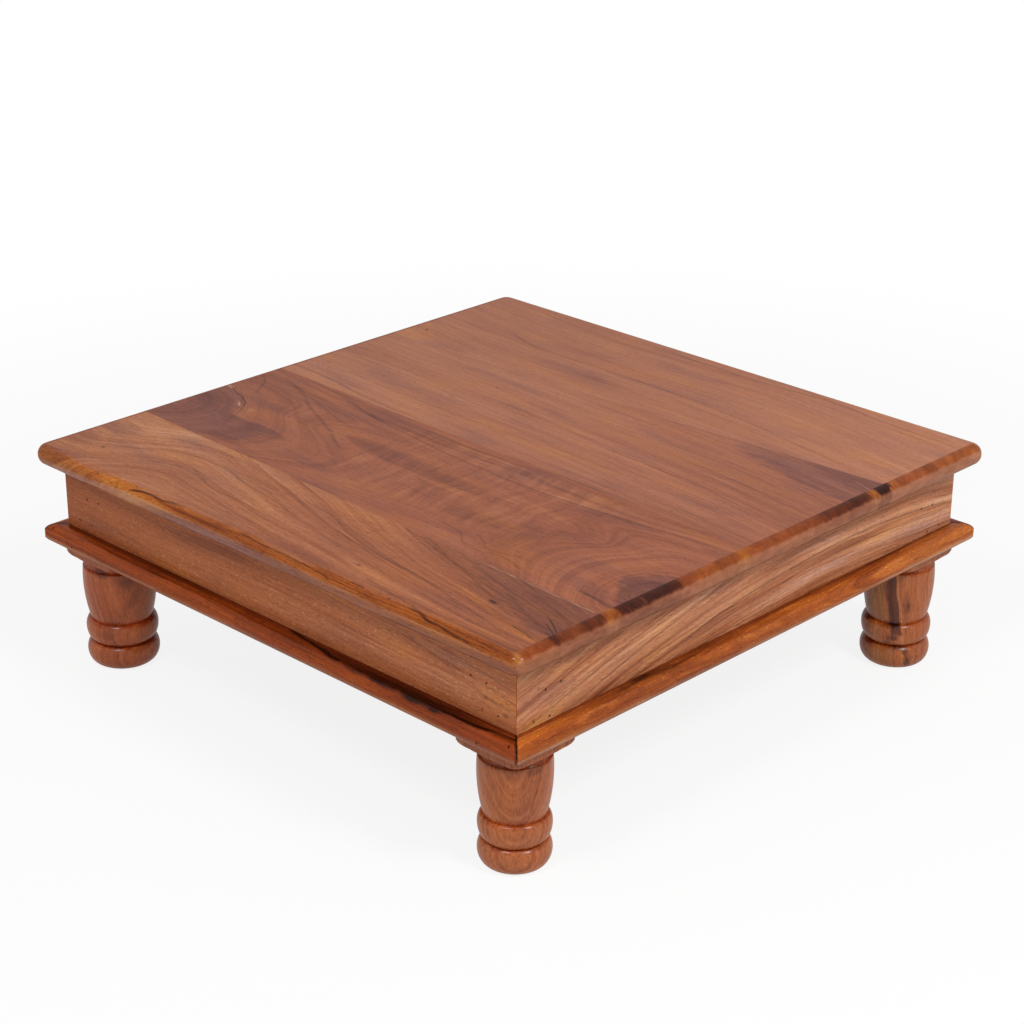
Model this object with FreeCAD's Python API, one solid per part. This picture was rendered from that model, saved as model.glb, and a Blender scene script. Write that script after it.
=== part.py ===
import FreeCAD, Part
import math
import os
from FreeCAD import Placement, Rotation, Vector

# A low square table of solid wood, used on the floor. Four turned legs carry a mitred base
# moulding, a mitred apron stands on the moulding, and a glued-up top lies on the apron.
# Lengths are in millimetres. The ground is at Z = 0, the front is -Y and the right is +X.

# The top
top_side = 457.0
top_thickness = 14.8
top_corner_ease = 2.2  # how much more the plan corners are rounded than the nose
top_overhang = 14.75  # from the apron's face to the edge of the top
# Where each glue line meets the left and the right end, as shares of the side from the front
seam_shares = ((0.201, 0.165), (0.472, 0.451), (0.708, 0.764))
# Radius of a board's rounded nose, as a share of its thickness: nearly a full half round
nose_share = 0.486

# The apron
apron_height = 44.0
apron_thickness = 12.0
apron_corner_radius = 1.0
apron_mitre_gap = 0.16

# The base moulding
base_reach = 12.3  # how far its nose stands out past the apron
base_thickness = 14.0
base_inner_margin = 1.5  # how far it runs inward past the legs
base_corner_radius = 2.6
base_mitre_gap = 0.4

# The legs, turned from square stock. Radii in the profile are shares of the stock's side,
# and heights are shares of the leg's height, from the ground up.
leg_height = 88.0
leg_stock = 50.0
leg_setback = 11.15  # from the apron's inner face to the middle of the leg
foot_flat_share = (0.320, 0.0)
foot_share = (0.456, 0.1125)
foot_neck_share = (0.364, 0.202)
bead_share = (0.455, 0.3125)
body_neck_share = (0.389, 0.389)
body_share = (0.452, 0.602)
body_top_share = (0.453, 0.834)
quirk_share = (0.424, 0.848)
cove_share = (0.540, 0.904)
shoulder_share = (0.620, 0.907)
head_share = (0.720, 0.960)
# The legs are turned by hand, so each has its own girth, as a share of the profile's
girth_shares = {"front_right": 1.0, "back_right": 1.055, "back_left": 1.03, "front_left": 1.09}
tenon_radius = 8.0
tenon_grip = 16.0  # how much of the tenon is in the corner block
tenon_clearance = 0.1
tenon_end_gap = 0.5

# The corner blocks, and the cleats and battens under the top
block_side = 40.0
block_chamfer = 12.0
cleat_size = 18.0
cleat_end_gap = 0.5
batten_width = 40.0
batten_thickness = 18.0
batten_place_share = 0.545  # of half the room between the aprons

# Countersunk wood screws
screw_radius = 1.75
screw_head_radius = 3.5
screw_head_depth = 2.2
screw_tip_length = 4.0
screw_slot_width = 0.9
screw_slot_depth = 1.0
leg_screw_radius = 2.5
leg_screw_head_radius = 5.0
leg_screw_head_depth = 3.0
leg_screw_bite = 10.0  # how far it goes into the leg below the tenon
fastener_clearance = 0.1
# How deep a screw bites into the piece that it holds, as a share of that piece
bite_share = 0.6
# Where the screws stand, as shares of half the length of the piece that they go through
base_screw_shares = (-0.5, 0.0, 0.5)
cleat_side_screw_shares = (-0.9, 0.0, 0.9)
cleat_top_screw_shares = (-0.3, 0.3)

# Headless brads, punched in a little below the surface
brad_radius = 0.8
brad_sink = 0.5
brad_stagger = 4.0  # height between the brads of two aprons that meet
brad_tenon_bite = 2.85  # how far a brad that pins a tenon goes into it
# Brads through an apron's end, as shares of the corner block's side and the apron's height
apron_brad_shares = ((0.06, 0.066), (0.30, 0.47), (0.62, 0.49))
# The brad that pins a tenon, as shares of the tenon's radius off the leg's middle and of the
# height of the apron or of the moulding that it goes through
apron_pin_share = (-0.556, 0.05)
moulding_pin_share = (0.41, 0.44)
# The brad across a moulding's mitre
mitre_brad_place = 8.5  # from the moulding's outer corner
mitre_brad_rise_share = 0.36  # above the middle of the moulding's edge, of its thickness

# Every cutting shape runs past the surface it cuts by this much
overrun = 2.0

# Sizes that follow from those above
half_top = top_side / 2
half_apron = half_top - top_overhang
half_inner = half_apron - apron_thickness
half_base = half_apron + base_reach
leg_offset = half_inner - leg_setback
base_width = half_base - leg_offset + leg_stock / 2 + base_inner_margin
apron_brad_length = apron_thickness + leg_setback - tenon_radius + brad_tenon_bite
moulding_brad_length = base_reach + apron_brad_length
base_z = leg_height
apron_z = base_z + base_thickness
top_z = apron_z + apron_height
cleat_half_length = half_inner - block_side - cleat_end_gap
batten_half_length = half_inner - cleat_size - cleat_end_gap
batten_offset = half_inner * batten_place_share

UP = Vector(0, 0, 1)
DOWN = Vector(0, 0, -1)
# The four sides as turns about the middle of the table, starting from the front
SIDES = {"front": 0, "right": 90, "back": 180, "left": 270}
# The four corners, by the signs of X and Y
CORNERS = {
    "front_right": (1, -1),
    "back_right": (1, 1),
    "back_left": (-1, 1),
    "front_left": (-1, -1),
}


def prism(points, low, high):
    """A flat-sided block over a plan outline, from one height to another."""
    corners = [Vector(x, y, low) for x, y in points]
    outline = Part.makePolygon(corners + corners[:1])
    return Part.Face(outline).extrude(Vector(0, 0, high - low))


def block(x_low, x_high, y_low, y_high, z_low, z_high):
    """A plain box between two corners."""
    size = (x_high - x_low, y_high - y_low, z_high - z_low)
    return Part.makeBox(*size, Vector(x_low, y_low, z_low))


def square_slab(half, radius, low, high):
    """A square slab about the middle, with rounded plan corners."""
    slab = block(-half, half, -half, half, low, high)
    upright = [e for e in slab.Edges if e.BoundBox.ZLength > (high - low) / 2]
    return slab.makeFillet(radius, upright)


def turned(shape, degrees):
    """The shape turned about the table's upright middle line."""
    copy = shape.copy()
    copy.rotate(Vector(0, 0, 0), UP, degrees)
    return copy


def turned_point(point, degrees):
    """A point or direction turned about the table's upright middle line."""
    return Rotation(UP, degrees).multVec(point)


def placed(shape, point, direction):
    """A shape made along +Z from the origin, set at a point and aimed in a direction."""
    copy = shape.copy()
    copy.Placement = Placement(point, Rotation(UP, direction))
    return copy


def lathe(points):
    """A solid of revolution about Z from a plan of (radius, height) points."""
    corners = [Vector(r, 0, z) for r, z in points]
    outline = Part.makePolygon(corners + corners[:1])
    return Part.Face(outline).revolve(Vector(0, 0, 0), UP, 360)


# Fasteners, each made along +Z with the outer end of its head at the origin


def screw(length, radius, head_radius, head_depth):
    """A countersunk screw with a slotted head."""
    tip = length - screw_tip_length
    body = lathe([(0, 0), (head_radius, 0), (radius, head_depth), (radius, tip), (0, length)])
    half_slot = screw_slot_width / 2
    slot = block(-head_radius, head_radius, -half_slot, half_slot, -overrun, screw_slot_depth)
    return body.cut(slot)


def screw_hole(length, radius, head_radius, head_depth):
    """The hole that such a screw fills, open at its head."""
    wide = head_radius + fastener_clearance
    narrow = radius + fastener_clearance
    end = length + fastener_clearance
    head = [(0, -overrun), (wide, -overrun), (wide, 0)]
    return lathe(head + [(narrow, head_depth), (narrow, end), (0, end)])


def brad(length):
    """A headless brad whose outer end lies just below the surface."""
    return Part.makeCylinder(brad_radius, length, Vector(0, 0, brad_sink), UP)


def brad_hole(length):
    """The hole that a brad fills, with the punch mark over it."""
    depth = overrun + brad_sink + length + fastener_clearance
    return Part.makeCylinder(brad_radius + fastener_clearance, depth, Vector(0, 0, -overrun), UP)


def small_screw(length):
    return screw(length, screw_radius, screw_head_radius, screw_head_depth)


def small_screw_hole(length):
    return screw_hole(length, screw_radius, screw_head_radius, screw_head_depth)


# Where the fasteners go: lists of (point, direction)


def apron_brad_spots():
    """Brads through both ends of every apron into the corner blocks, one of them into the tenon."""
    places = [(half_inner - block_side * along, up) for along, up in apron_brad_shares]
    places.append((leg_offset + tenon_radius * apron_pin_share[0], apron_pin_share[1]))
    spots = []
    for side, angle in SIDES.items():
        rise = brad_stagger if side in ("front", "back") else 0
        for along, up in places:
            height = apron_z + apron_height * up + rise
            for end in (-1, 1):
                point = turned_point(Vector(end * along, -half_apron, height), angle)
                spots.append((point, turned_point(Vector(0, 1, 0), angle)))
    return spots


def moulding_brad_spots():
    """Brads through the front and back mouldings: one across each mitre, one into each tenon."""
    pin_share, pin_height_share = moulding_pin_share
    pin_place = leg_offset + tenon_radius * pin_share
    pin_rise = base_thickness * (pin_height_share - 1 / 2)
    mitre_place = half_base - mitre_brad_place
    mitre_rise = base_thickness * mitre_brad_rise_share
    nose = base_thickness * nose_share
    spots = []
    for along, rise in ((pin_place, pin_rise), (mitre_place, mitre_rise)):
        out = half_base - nose + math.sqrt(nose ** 2 - rise ** 2)
        height = base_z + base_thickness / 2 + rise
        for x_sign, y_sign in CORNERS.values():
            spots.append((Vector(x_sign * along, y_sign * out, height), Vector(0, -y_sign, 0)))
    return spots


def base_screw_spots():
    """Screws up through the moulding into the aprons' lower edges."""
    spots = []
    for angle in SIDES.values():
        for share in base_screw_shares:
            middle = Vector(half_apron * share, -half_apron + apron_thickness / 2, base_z)
            spots.append((turned_point(middle, angle), UP))
    return spots


def leg_screw_spots():
    """One screw down through each corner block into the leg's tenon."""
    return [(Vector(x * leg_offset, y * leg_offset, top_z), DOWN) for x, y in CORNERS.values()]


def cleat_screw_spots():
    """Screws from the cleats out into the aprons."""
    spots = []
    height = top_z - cleat_size / 2
    for angle in SIDES.values():
        for share in cleat_side_screw_shares:
            point = Vector(cleat_half_length * share, -half_inner + cleat_size, height)
            spots.append((turned_point(point, angle), turned_point(Vector(0, -1, 0), angle)))
    return spots


def cleat_top_screw_spots():
    """Screws up through the cleats into the top."""
    spots = []
    for angle in SIDES.values():
        for share in cleat_top_screw_shares:
            point = Vector(cleat_half_length * share, -half_inner + cleat_size / 2, top_z - cleat_size)
            spots.append((turned_point(point, angle), UP))
    return spots


def seam_lines(x):
    """The front edge, the glue lines and the back edge of the top, as Y at a given X."""
    share = (x + half_top) / top_side
    lines = [-half_top]
    for left, right in seam_shares:
        lines.append(-half_top + top_side * (left + (right - left) * share))
    return lines + [half_top]


def batten_screw_spots():
    """Screws up through the battens, one into each board of the top."""
    spots = []
    for x in (-batten_offset, batten_offset):
        lines = seam_lines(x)
        for low, high in zip(lines, lines[1:]):
            middle = (max(low, -batten_half_length) + min(high, batten_half_length)) / 2
            spots.append((Vector(x, middle, top_z - batten_thickness), UP))
    return spots


def set_at(shape, spots):
    """One copy of a fastener, or of its hole, at every spot."""
    return [placed(shape, point, direction) for point, direction in spots]


base_screw_length = base_thickness + apron_height * bite_share
cleat_screw_length = cleat_size + apron_thickness * bite_share
cleat_top_screw_length = cleat_size + top_thickness * bite_share
batten_screw_length = batten_thickness + top_thickness * bite_share
leg_screw_length = apron_height + base_thickness + leg_screw_bite
leg_screw_sizes = (leg_screw_length, leg_screw_radius, leg_screw_head_radius, leg_screw_head_depth)

apron_brad_holes = set_at(brad_hole(apron_brad_length), apron_brad_spots())
moulding_brad_holes = set_at(brad_hole(moulding_brad_length), moulding_brad_spots())
base_screw_holes = set_at(small_screw_hole(base_screw_length), base_screw_spots())
leg_screw_holes = set_at(screw_hole(*leg_screw_sizes), leg_screw_spots())
cleat_screw_holes = set_at(small_screw_hole(cleat_screw_length), cleat_screw_spots())
cleat_top_screw_holes = set_at(small_screw_hole(cleat_top_screw_length), cleat_top_screw_spots())
batten_screw_holes = set_at(small_screw_hole(batten_screw_length), batten_screw_spots())


def drilled(piece, *hole_lists):
    """The piece with every hole that reaches it cut out."""
    near = [h for holes in hole_lists for h in holes if h.BoundBox.intersect(piece.BoundBox)]
    if not near:
        return piece
    return piece.cut(near)


# Wooden pieces


def top_boards():
    """The slab with its rounded nose all round, sawn along the glue lines into four boards."""
    nose = top_thickness * nose_share
    slab = square_slab(half_top, nose + top_corner_ease, top_z, top_z + top_thickness)
    rims = [e for e in slab.Edges if e.BoundBox.ZLength < top_thickness / 2]
    slab = slab.makeFillet(nose, rims)
    slab = drilled(slab, cleat_top_screw_holes, batten_screw_holes)
    left = seam_lines(-half_top)
    right = seam_lines(half_top)
    left[0] = right[0] = -half_top - overrun
    left[-1] = right[-1] = half_top + overrun
    reach = half_top + overrun
    boards = []
    for k in range(len(left) - 1):
        plan = [(-reach, left[k]), (reach, right[k]), (reach, right[k + 1]), (-reach, left[k + 1])]
        boards.append(slab.common(prism(plan, top_z - overrun, top_z + top_thickness + overrun)))
    return boards


def mitre_wedge(half, width, gap, low, high):
    """The plan of a front frame member between two mitres, each drawn back by half the gap."""
    back = gap / math.sqrt(2)
    outer = half + overrun
    inner = half - width
    right = [(outer - back, -outer), (inner - back, -inner)]
    left = [(-inner + back, -inner), (-outer + back, -outer)]
    return prism(right + left, low - overrun, high + overrun)


def front_apron():
    """A flat board on edge, mitred at both ends, with its outer corners just eased."""
    ring = square_slab(half_apron, apron_corner_radius, apron_z, top_z)
    return ring.common(mitre_wedge(half_apron, apron_thickness, apron_mitre_gap, apron_z, top_z))


def front_moulding():
    """A flat strip with a rounded nose, mitred at both ends."""
    nose = base_thickness * nose_share
    bar = block(-half_base, half_base, -half_base, -half_base + base_width, base_z, apron_z)
    level = [e for e in bar.Edges if e.BoundBox.ZLength < base_thickness / 2]
    bar = bar.makeFillet(nose, [e for e in level if e.BoundBox.YMax < -half_apron])
    bar = bar.common(square_slab(half_base, base_corner_radius, base_z, apron_z))
    return bar.common(mitre_wedge(half_base, base_width, base_mitre_gap, base_z, apron_z))


def leg_point(share, girth=1):
    """A point of the turned profile, from its shares of the stock and of the height."""
    return Vector(leg_stock * share[0] * girth, 0, leg_height * share[1])


def quarter_oval(level, upright):
    """A quarter of an oval that is level at one end and upright at the other."""
    centre = Vector(level.x, 0, upright.z)
    ends = sorted((level, upright), key=centre.distanceToPoint)
    return Part.Ellipse(ends[1], ends[0], centre).toShape(0, math.pi / 2)


def turned_leg(girth):
    """A leg at the origin: rounded foot, bead, swelling body, coved shoulders, square head, tenon."""
    round_shares = (foot_flat_share, foot_share, foot_neck_share, bead_share, body_neck_share)
    flat, foot, foot_neck, bead, body_neck = [leg_point(share, girth) for share in round_shares]
    body_shares = (body_share, body_top_share, quirk_share)
    body, body_top, quirk = [leg_point(share, girth) for share in body_shares]
    cove, shoulder, head = [leg_point(share) for share in (cove_share, shoulder_share, head_share)]
    rim = Vector(head.x, 0, leg_height)
    outline = [
        Part.makeLine(Vector(0, 0, 0), flat),
        quarter_oval(flat, foot),
        quarter_oval(foot_neck, foot),
        quarter_oval(foot_neck, bead),
        quarter_oval(body_neck, bead),
        Part.Arc(body_neck, body, body_top).toShape(),
        Part.makeLine(body_top, quirk),
        quarter_oval(cove, quirk),
        Part.makeLine(cove, shoulder),
        quarter_oval(shoulder, head),
        Part.makeLine(head, rim),
        Part.makeLine(rim, Vector(0, 0, leg_height)),
        Part.makeLine(Vector(0, 0, leg_height), Vector(0, 0, 0)),
    ]
    round_leg = Part.Face(Part.Wire(outline)).revolve(Vector(0, 0, 0), UP, 360)
    half = leg_stock / 2
    leg = round_leg.common(block(-half, half, -half, half, 0, leg_height))
    tenon = Part.makeCylinder(tenon_radius, base_thickness + tenon_grip, Vector(0, 0, leg_height), UP)
    return leg.fuse(tenon).removeSplitter()


def tenon_bores():
    """The holes for the four tenons, through the moulding and up into the corner blocks."""
    radius = tenon_radius + tenon_clearance
    depth = base_thickness + tenon_grip + tenon_end_gap
    bore = Part.makeCylinder(radius, overrun + depth, Vector(0, 0, -overrun), UP)
    middles = [Vector(x * leg_offset, y * leg_offset, base_z) for x, y in CORNERS.values()]
    return set_at(bore, [(middle, UP) for middle in middles])


def corner_block(x_sign, y_sign):
    """A block in the corner of the aprons, with its inner arris planed off."""
    outer = half_inner
    inner = half_inner - block_side
    cut = inner + block_chamfer
    plan = [(outer, outer), (inner, outer), (inner, cut), (cut, inner), (outer, inner)]
    signed = [(x_sign * x, y_sign * y) for x, y in plan]
    return prism(signed, apron_z, top_z)


def front_cleat():
    """A square strip in the corner between the front apron and the top."""
    y = -half_inner
    return block(-cleat_half_length, cleat_half_length, y, y + cleat_size, top_z - cleat_size, top_z)


def batten(x):
    """A flat bar across the four boards, from the front cleat to the back one."""
    half = batten_width / 2
    reach = batten_half_length
    return block(x - half, x + half, -reach, reach, top_z - batten_thickness, top_z)


# All nodes of the table


def wooden_nodes():
    nodes = {}
    for number, board in enumerate(top_boards(), start=1):
        nodes[f"top_board_{number}"] = board
    bores = tenon_bores()
    for side, angle in SIDES.items():
        apron = turned(front_apron(), angle)
        nodes[f"apron_{side}"] = drilled(apron, apron_brad_holes, base_screw_holes, cleat_screw_holes)
        moulding = drilled(turned(front_moulding(), angle), bores)
        nodes[f"moulding_{side}"] = drilled(moulding, moulding_brad_holes, base_screw_holes)
        cleat = turned(front_cleat(), angle)
        nodes[f"cleat_{side}"] = drilled(cleat, cleat_screw_holes, cleat_top_screw_holes)
    for corner, (x, y) in CORNERS.items():
        spot = Vector(x * leg_offset, y * leg_offset, 0)
        leg = drilled(placed(turned_leg(girth_shares[corner]), spot, UP), leg_screw_holes)
        nodes[f"leg_{corner}"] = drilled(leg, apron_brad_holes, moulding_brad_holes)
        bored = drilled(corner_block(x, y), bores, leg_screw_holes)
        nodes[f"corner_block_{corner}"] = drilled(bored, apron_brad_holes)
    for name, x in (("left", -batten_offset), ("right", batten_offset)):
        nodes[f"batten_{name}"] = drilled(batten(x), batten_screw_holes)
    return nodes


def fastener_nodes():
    return {
        "apron_brads": set_at(brad(apron_brad_length), apron_brad_spots()),
        "moulding_brads": set_at(brad(moulding_brad_length), moulding_brad_spots()),
        "base_screws": set_at(small_screw(base_screw_length), base_screw_spots()),
        "leg_screws": set_at(screw(*leg_screw_sizes), leg_screw_spots()),
        "cleat_screws": set_at(small_screw(cleat_screw_length), cleat_screw_spots()),
        "cleat_top_screws": set_at(small_screw(cleat_top_screw_length), cleat_top_screw_spots()),
        "batten_screws": set_at(small_screw(batten_screw_length), batten_screw_spots()),
    }


os.makedirs("parts", exist_ok=True)
for name, piece in wooden_nodes().items():
    solids = piece.Solids
    print(name, len(solids), "solid", round(piece.Volume), "mm3")
    solids[0].exportStep(f"parts/{name}.step")
for name, pieces in fastener_nodes().items():
    print(name, len(pieces), "pieces")
    Part.makeCompound(pieces).exportStep(f"parts/{name}.step")
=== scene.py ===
# %% [markdown]
# # A low square table for use on the floor
#
# The table is four glued boards on a mitred apron, a rounded base moulding and four turned
# legs. All of it is one species of figured red-brown hardwood under clear lacquer, so nearly
# all of what the eye sees is the wood. The shapes come from the packed model. This script
# gives every piece its finish, turns finer legs, and makes the screws and brads.

# %% Load the packed table
import math

import bmesh
import bpy
from mathutils import Matrix, Vector


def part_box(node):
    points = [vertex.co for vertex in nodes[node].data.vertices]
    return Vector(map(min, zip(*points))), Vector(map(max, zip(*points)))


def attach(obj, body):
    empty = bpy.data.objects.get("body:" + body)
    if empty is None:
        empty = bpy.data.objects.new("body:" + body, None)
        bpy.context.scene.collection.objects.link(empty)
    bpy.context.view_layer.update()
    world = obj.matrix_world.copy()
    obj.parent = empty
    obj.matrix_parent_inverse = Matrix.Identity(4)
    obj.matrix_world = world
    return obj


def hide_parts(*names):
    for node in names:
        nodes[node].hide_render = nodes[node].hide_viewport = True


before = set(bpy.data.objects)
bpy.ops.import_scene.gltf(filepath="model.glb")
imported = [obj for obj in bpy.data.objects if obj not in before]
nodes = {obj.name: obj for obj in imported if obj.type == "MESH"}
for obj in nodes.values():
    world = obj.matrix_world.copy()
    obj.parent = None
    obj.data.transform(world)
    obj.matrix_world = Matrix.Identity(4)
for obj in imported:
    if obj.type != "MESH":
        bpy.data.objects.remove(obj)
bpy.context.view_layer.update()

print("pieces from the model:", len(nodes))

# %% [markdown]
# ## Where the camera stands
#
# The photograph looks at one corner from a little above, through a long lens, so the edges
# hardly converge. The place and the angles were worked out from the table's own right angles.
# The camera's own axes are columns of a matrix: right, up and backwards.

# %% The camera
CAMERA_PLACE = Vector((1.05931, -1.08669, 0.76690))
CAMERA_AZIMUTH = math.radians(44.159)
CAMERA_DROP = math.radians(23.399)
CAMERA_ROLL = math.radians(0.318)
CAMERA_SENSOR = 36.0
CAMERA_LENS = 85.01
CAMERA_SHIFT = -0.00275


def put_in_scene(name, data):
    """A new object in the scene, made from a mesh, a lamp or a lens."""
    thing = bpy.data.objects.new(name, data)
    bpy.context.collection.objects.link(thing)
    return thing


def camera_axes():
    """The camera's right, up and backward directions."""
    cosine, sine = math.cos(CAMERA_AZIMUTH), math.sin(CAMERA_AZIMUTH)
    level = math.cos(CAMERA_DROP)
    ahead = Vector((-sine * level, cosine * level, -math.sin(CAMERA_DROP)))
    right = Vector((cosine, sine, 0))
    up = right.cross(ahead)
    rolled_right = right * math.cos(CAMERA_ROLL) + up * math.sin(CAMERA_ROLL)
    rolled_up = up * math.cos(CAMERA_ROLL) - right * math.sin(CAMERA_ROLL)
    return rolled_right, rolled_up, -ahead


def add_camera():
    lens = bpy.data.cameras.new("camera")
    lens.sensor_width = CAMERA_SENSOR
    lens.lens = CAMERA_LENS
    lens.shift_x = CAMERA_SHIFT
    camera = put_in_scene("camera", lens)
    turn = Matrix(camera_axes()).transposed().to_4x4()
    camera.matrix_world = Matrix.Translation(CAMERA_PLACE) @ turn
    bpy.context.scene.camera = camera


add_camera()
print("camera stands", round(CAMERA_PLACE.length, 3), "m from the middle of the table's feet")

# %% [markdown]
# ## A finish is a formula
#
# Wood isn't a picture wrapped round a piece. It is a solid stuff, and each face shows a cut
# through it, so every finish here is a formula of the place inside the piece. A few small
# classes let such a formula be written as sums and products, while Blender's nodes are made
# behind it. A Field is one number at every point. A Formula is a node tree in the making,
# and a Finish is the tree of a material.

# %% Fields
MM = 1000.0  # millimetres in a metre


class Field:
    """One number at every point of a piece, worked out by nodes."""

    def __init__(self, formula, socket):
        self.formula = formula
        self.socket = socket

    def __neg__(self):
        return self.formula.math("MULTIPLY", self, -1.0)

    def __abs__(self):
        return self.formula.math("ABSOLUTE", self)


def sign(operation, turned_round):
    """What a sign such as + does with a field and a number, on either side of it."""

    def work(field, other):
        pair = (other, field) if turned_round else (field, other)
        return field.formula.math(operation, *pair)

    return work


SIGNS = {"add": "ADD", "sub": "SUBTRACT", "mul": "MULTIPLY", "truediv": "DIVIDE", "pow": "POWER"}
for short, operation in SIGNS.items():
    setattr(Field, f"__{short}__", sign(operation, False))
    setattr(Field, f"__r{short}__", sign(operation, True))
print("fields know", ", ".join(SIGNS))


# %% Formulas
class Formula:
    """A node tree in the making, with short ways to add nodes to it."""

    def __init__(self, tree):
        self.tree = tree

    def node(self, kind, inputs=None, **settings):
        """A new node with its settings, and with its inputs fed by name or number."""
        node = self.tree.nodes.new(kind)
        for name, value in settings.items():
            setattr(node, name, value)
        for name, value in (inputs or {}).items():
            self.feed(node.inputs[name], value)
        return node

    def feed(self, socket, value):
        """A field or a socket goes in by a link, and a plain value is set on the socket."""
        if isinstance(value, Field):
            value = value.socket
        if hasattr(value, "links"):
            self.tree.links.new(value, socket)
        elif isinstance(value, tuple) and len(value) == 3 and socket.type == "RGBA":
            socket.default_value = (*value, 1.0)
        else:
            socket.default_value = value

    def math(self, operation, *values):
        node = self.node("ShaderNodeMath", dict(enumerate(values)), operation=operation)
        return Field(self, node.outputs[0])

    def join(self, x, y, z):
        return self.node("ShaderNodeCombineXYZ", {0: x, 1: y, 2: z}).outputs[0]

    def length(self, a, b):
        """The length of the long side over two sides a and b that stand square."""
        return self.math("SQRT", a * a + b * b)

    def smooth(self, value, low, high, start=0.0, end=1.0):
        """Rises softly from start, where the value is low, to end, where it is high."""
        inputs = {"Value": value, "From Min": low, "From Max": high, "To Min": start, "To Max": end}
        node = self.node("ShaderNodeMapRange", inputs, interpolation_type="SMOOTHSTEP")
        return Field(self, node.outputs["Result"])

    def noise(self, x, y, z, detail=1.0, rough=0.5):
        """Soft cloudy noise about one unit across, from -0.5 to 0.5."""
        inputs = {"Vector": self.join(x, y, z), "Scale": 1.0, "Detail": detail, "Roughness": rough}
        return Field(self, self.node("ShaderNodeTexNoise", inputs).outputs[0]) - 0.5

    def curve(self, value, points):
        """A smooth curve through given (place, height) points, level beyond both ends."""
        start, end = points[0][0], points[-1][0]
        low = min(height for _, height in points)
        span = max(max(height for _, height in points) - low, 0.001)
        node = self.node("ShaderNodeFloatCurve")
        node.mapping.extend = "HORIZONTAL"
        row = node.mapping.curves[0].points
        row[0].location = (0.0, (points[0][1] - low) / span)
        row[1].location = (1.0, (points[-1][1] - low) / span)
        for place, height in points[1:-1]:
            row.new((place - start) / (end - start), (height - low) / span)
        node.mapping.update()
        self.feed(node.inputs["Value"], (value - start) / (end - start))
        return Field(self, node.outputs[0]) * span + low

    def tint(self, share, colour, tint):
        """A colour multiplied by a tint, in part or in full."""
        inputs = {"Factor": share, 6: colour, 7: tint}
        node = self.node("ShaderNodeMix", inputs, data_type="RGBA", blend_type="MULTIPLY")
        return node.outputs[2]

    def mix(self, share, first, second):
        """A colour between two colours."""
        inputs = {"Factor": share, 6: first, 7: second}
        return self.node("ShaderNodeMix", inputs, data_type="RGBA").outputs[2]

    def ramp(self, value, stops):
        """A colour read from a row of (place, colour) stops."""
        node = self.node("ShaderNodeValToRGB", {0: value})
        row = node.color_ramp.elements
        while len(row) < len(stops):
            row.new(1.0)
        for element, (place, colour) in zip(row, stops):
            element.position = place
            element.color = (*colour, 1.0)
        return node.outputs[0]

    def lay(self, mark, along, across, ragged, colour):
        """Lays one mark over a colour."""
        inputs = {0: along, 1: across, 2: ragged, 3: colour}
        return self.node("ShaderNodeGroup", inputs, node_tree=Stencil(mark).tree).outputs[0]

    def end(self, share, first, second):
        """Ends a tree with a blend of two shaders."""
        blend = self.node("ShaderNodeMixShader", {0: share, 1: first, 2: second})
        kind = "ShaderNodeOutput"
        last = [node for node in self.tree.nodes if node.bl_idname.startswith(kind)][0]
        self.feed(last.inputs["Surface"], blend.outputs[0])


print("a formula knows", ", ".join(name for name in vars(Formula) if not name.startswith("_")))


# %% Finishes and stencils
class Finish(Formula):
    """A material in the making."""

    def __init__(self, name):
        self.material = bpy.data.materials.new(name)
        self.material.use_nodes = True
        super().__init__(self.material.node_tree)
        self.shader = self.tree.nodes["Principled BSDF"]

    def places(self, axes):
        """Millimetres along, across and through the piece, in the order of the axes given."""
        point = self.node("ShaderNodeTexCoord").outputs["Object"]
        split = self.node("ShaderNodeSeparateXYZ", {0: point})
        return [Field(self, split.outputs[axis]) * MM for axis in axes]

    def set(self, **values):
        for name, value in values.items():
            self.feed(self.shader.inputs[name.replace("_", " ")], value)

    def relief(self, height, depth):
        """Bump from a height field, where a height of 1 stands that many millimetres proud."""
        bump = self.node("ShaderNodeBump", {"Height": height, "Distance": depth / MM})
        self.set(Normal=bump.outputs[0])


class Stencil(Formula):
    """A small node group that draws one mark, so that a piece's own tree stays short."""

    def __init__(self, mark):
        super().__init__(bpy.data.node_groups.new("mark", "ShaderNodeTree"))
        sockets = self.tree.interface
        for name in ("Along", "Across", "Ragged"):
            sockets.new_socket(name, in_out="INPUT", socket_type="NodeSocketFloat")
        for way in ("INPUT", "OUTPUT"):
            sockets.new_socket("Colour", in_out=way, socket_type="NodeSocketColor")
        entry = self.node("NodeGroupInput")
        along, across, ragged = [Field(self, socket) for socket in entry.outputs[:3]]
        self.node("NodeGroupOutput", {0: mark(self, along, across, ragged, entry.outputs[3])})


print("a finish starts as:", Finish("empty_finish").shader.name)
bpy.data.materials.remove(bpy.data.materials["empty_finish"])

# %% [markdown]
# ## Light, floor and white surroundings
#
# The photograph was taken in a white studio with two soft lamps: the twin glints on the near
# leg's bead show one almost square to the right-hand side and a weaker one to the left of the
# camera. The white all round is a colour, not more light: rays from the camera and mirror
# rays see plain white, while the light that falls on the wood stays moderate. The floor
# keeps the table's own soft shadow and turns plain white further out.

# %% The surroundings
WHITE = (1.0, 1.0, 1.0)
ROOM_LIGHT = 0.45
FLOOR_REACH = 8.0
FLOOR_PALE = (0.84, 0.84, 0.84)
FLOOR_WHITENS = (420.0, 1000.0)  # millimetres from the middle
FLOOR_WHITE_SHARE = 0.86  # under the table
CORNERS = ((-1, -1), (1, -1), (1, 1), (-1, 1))


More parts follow.
